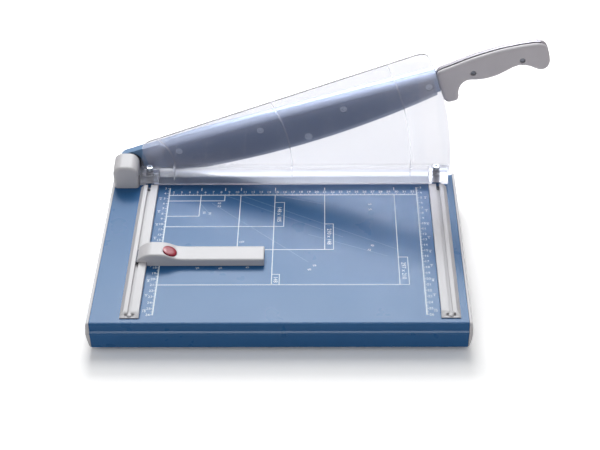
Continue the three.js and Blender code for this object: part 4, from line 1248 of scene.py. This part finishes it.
class CUTTER_OT_stage(bpy.types.Operator):
    """Lays the white floor, sets the soft light and the camera"""

    bl_idname = "cutter.stage"
    bl_label = "Stage"

    # The cool tint of the boxes that only gloss shows
    mirrored_tint = (0.9, 0.965, 1.0)
    # The camera's place, its turns in degrees from looking straight down, and its film's width
    eye = (212.17, -1331.24, 1030.73)
    turns = ((1.506, "Z"), (90 - 39.98, "X"), (-1.144, "Z"))
    film = 36

    def execute(self, context):
        stage = context.scene.cutter_stage
        only()
        bpy.ops.mesh.primitive_plane_add(size=12)
        floor = settle(bpy.context.object, "studio_floor")
        floor.data.materials.append(finish("seamless_paper"))
        key = self.light("key_light", (-0.17, 1.22, 1.1), (0.9, 0.5), stage.key)
        key.visible_glossy = False
        for name, place, sizes, watts in (
                ("mirrored_soft_box", (-0.12, 1.13, 1.31), (1.4, 0.52), stage.mirrored),
                ("mirrored_overhead_box", (0, -0.36, 1.9), (1.6, 0.45), stage.overhead)):
            box = self.light(name, place, sizes, watts)
            box.visible_diffuse = False
            box.data.color = self.mirrored_tint
        self.light("top_light", (-0.05, 0.95, 1.9), (1.1, 0.8), stage.top)
        self.light("front_fill", (0.1, -1.7, 0.8), (1.6, 0.8), stage.front)
        self.world(stage)
        self.camera(context, stage)
        context.scene.view_settings.view_transform = "Standard"
        return {"FINISHED"}

    @staticmethod
    def light(name, place, sizes, watts):
        """A rectangular soft box that faces the cutter."""
        bpy.ops.object.light_add(type="AREA", location=place)
        lamp = bpy.context.object
        lamp.name = name
        lamp.data.shape = "RECTANGLE"
        lamp.data.size, lamp.data.size_y = sizes
        lamp.data.energy = watts
        lamp.rotation_euler = (-Vector(place)).to_track_quat("-Z", "Y").to_euler()
        lamp.visible_camera = False
        return lamp

    @staticmethod
    def world(stage):
        """White where it is seen, in gloss or through acrylic; an even fill where it lights."""
        world = bpy.data.worlds.new("studio")
        bpy.context.scene.world = world
        world.use_nodes = True
        tree = world.node_tree
        ray = add_node(tree, "LightPath")
        way = add_node(tree, "TexCoord")["Generated"]
        height = add_node(tree, "SeparateXYZ", {"Vector": way})["Z"]
        above = add_node(tree, "MapRange", {
            "Value": height, "From Min": 0.3, "From Max": 0.75, "To Min": 1.0,
            "To Max": stage.ceiling})["Result"]
        seen = add_node(tree, "Math", {
            "operation": "MAXIMUM", 0: ray["Is Camera Ray"],
            1: ray["Is Transmission Ray"]})["Value"]
        gloss = add_node(tree, "Math", {
            "operation": "MULTIPLY", 0: ray["Is Glossy Ray"], 1: above})["Value"]
        strength = add_node(tree, "Math", {"operation": "MAXIMUM", 0: seen, 1: gloss})["Value"]
        strength = add_node(tree, "Math", {
            "operation": "MAXIMUM", 0: strength, 1: stage.fill})["Value"]
        feed(tree.nodes["Background"], {"Color": (1, 1, 1, 1), "Strength": strength})

    def camera(self, context, stage):
        """The camera, where the printed formats put it."""
        pan, rise, roll = (Matrix.Rotation(math.radians(a), 4, axis) for a, axis in self.turns)
        bpy.ops.object.camera_add()
        camera = bpy.context.object
        camera.matrix_world = paper_matrix(*self.eye) @ pan @ rise @ roll
        camera.data.sensor_width = self.film
        camera.data.lens = stage.lens
        context.scene.camera = camera


class CUTTER_PT_sidebar(bpy.types.Panel):
    """Lists the pieces, the sizes and the colours"""

    bl_label = "Paper Cutter"
    bl_space_type = "VIEW_3D"
    bl_region_type = "UI"
    bl_category = "Cutter"

    def draw(self, context):
        for operator in OPERATORS:
            self.layout.operator(operator.bl_idname)
        for group in SETTINGS:
            settings = getattr(context.scene, group)
            for name in settings.__annotations__:
                self.layout.prop(settings, name)


OPERATORS = (
    CUTTER_OT_table, CUTTER_OT_print, CUTTER_OT_lower_blade, CUTTER_OT_pivot, CUTTER_OT_cover,
    CUTTER_OT_arm, CUTTER_OT_blade, CUTTER_OT_screws, CUTTER_OT_handle, CUTTER_OT_guard,
    CUTTER_OT_guides, CUTTER_OT_rails, CUTTER_OT_backstop, CUTTER_OT_button, CUTTER_OT_stage,
)
SETTINGS = {"cutter_sizes": CutterSizes, "cutter_colors": CutterColors, "cutter_stage": CutterStage}
CLASSES = (*SETTINGS.values(), *OPERATORS, CUTTER_PT_sidebar)


def register():
    """Registers the classes and hangs the settings on the scene."""
    for item in CLASSES:
        bpy.utils.register_class(item)
    for name, group in SETTINGS.items():
        setattr(bpy.types.Scene, name, PointerProperty(type=group))


def unregister():
    """Takes the settings and the classes away again."""
    for name in SETTINGS:
        delattr(bpy.types.Scene, name)
    for item in reversed(CLASSES):
        bpy.utils.unregister_class(item)


def main():
    """Registers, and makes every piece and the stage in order."""
    register()
    for operator in OPERATORS:
        group, name = operator.bl_idname.split(".")
        getattr(getattr(bpy.ops, group), name)()


if __name__ == "__main__":
    main()
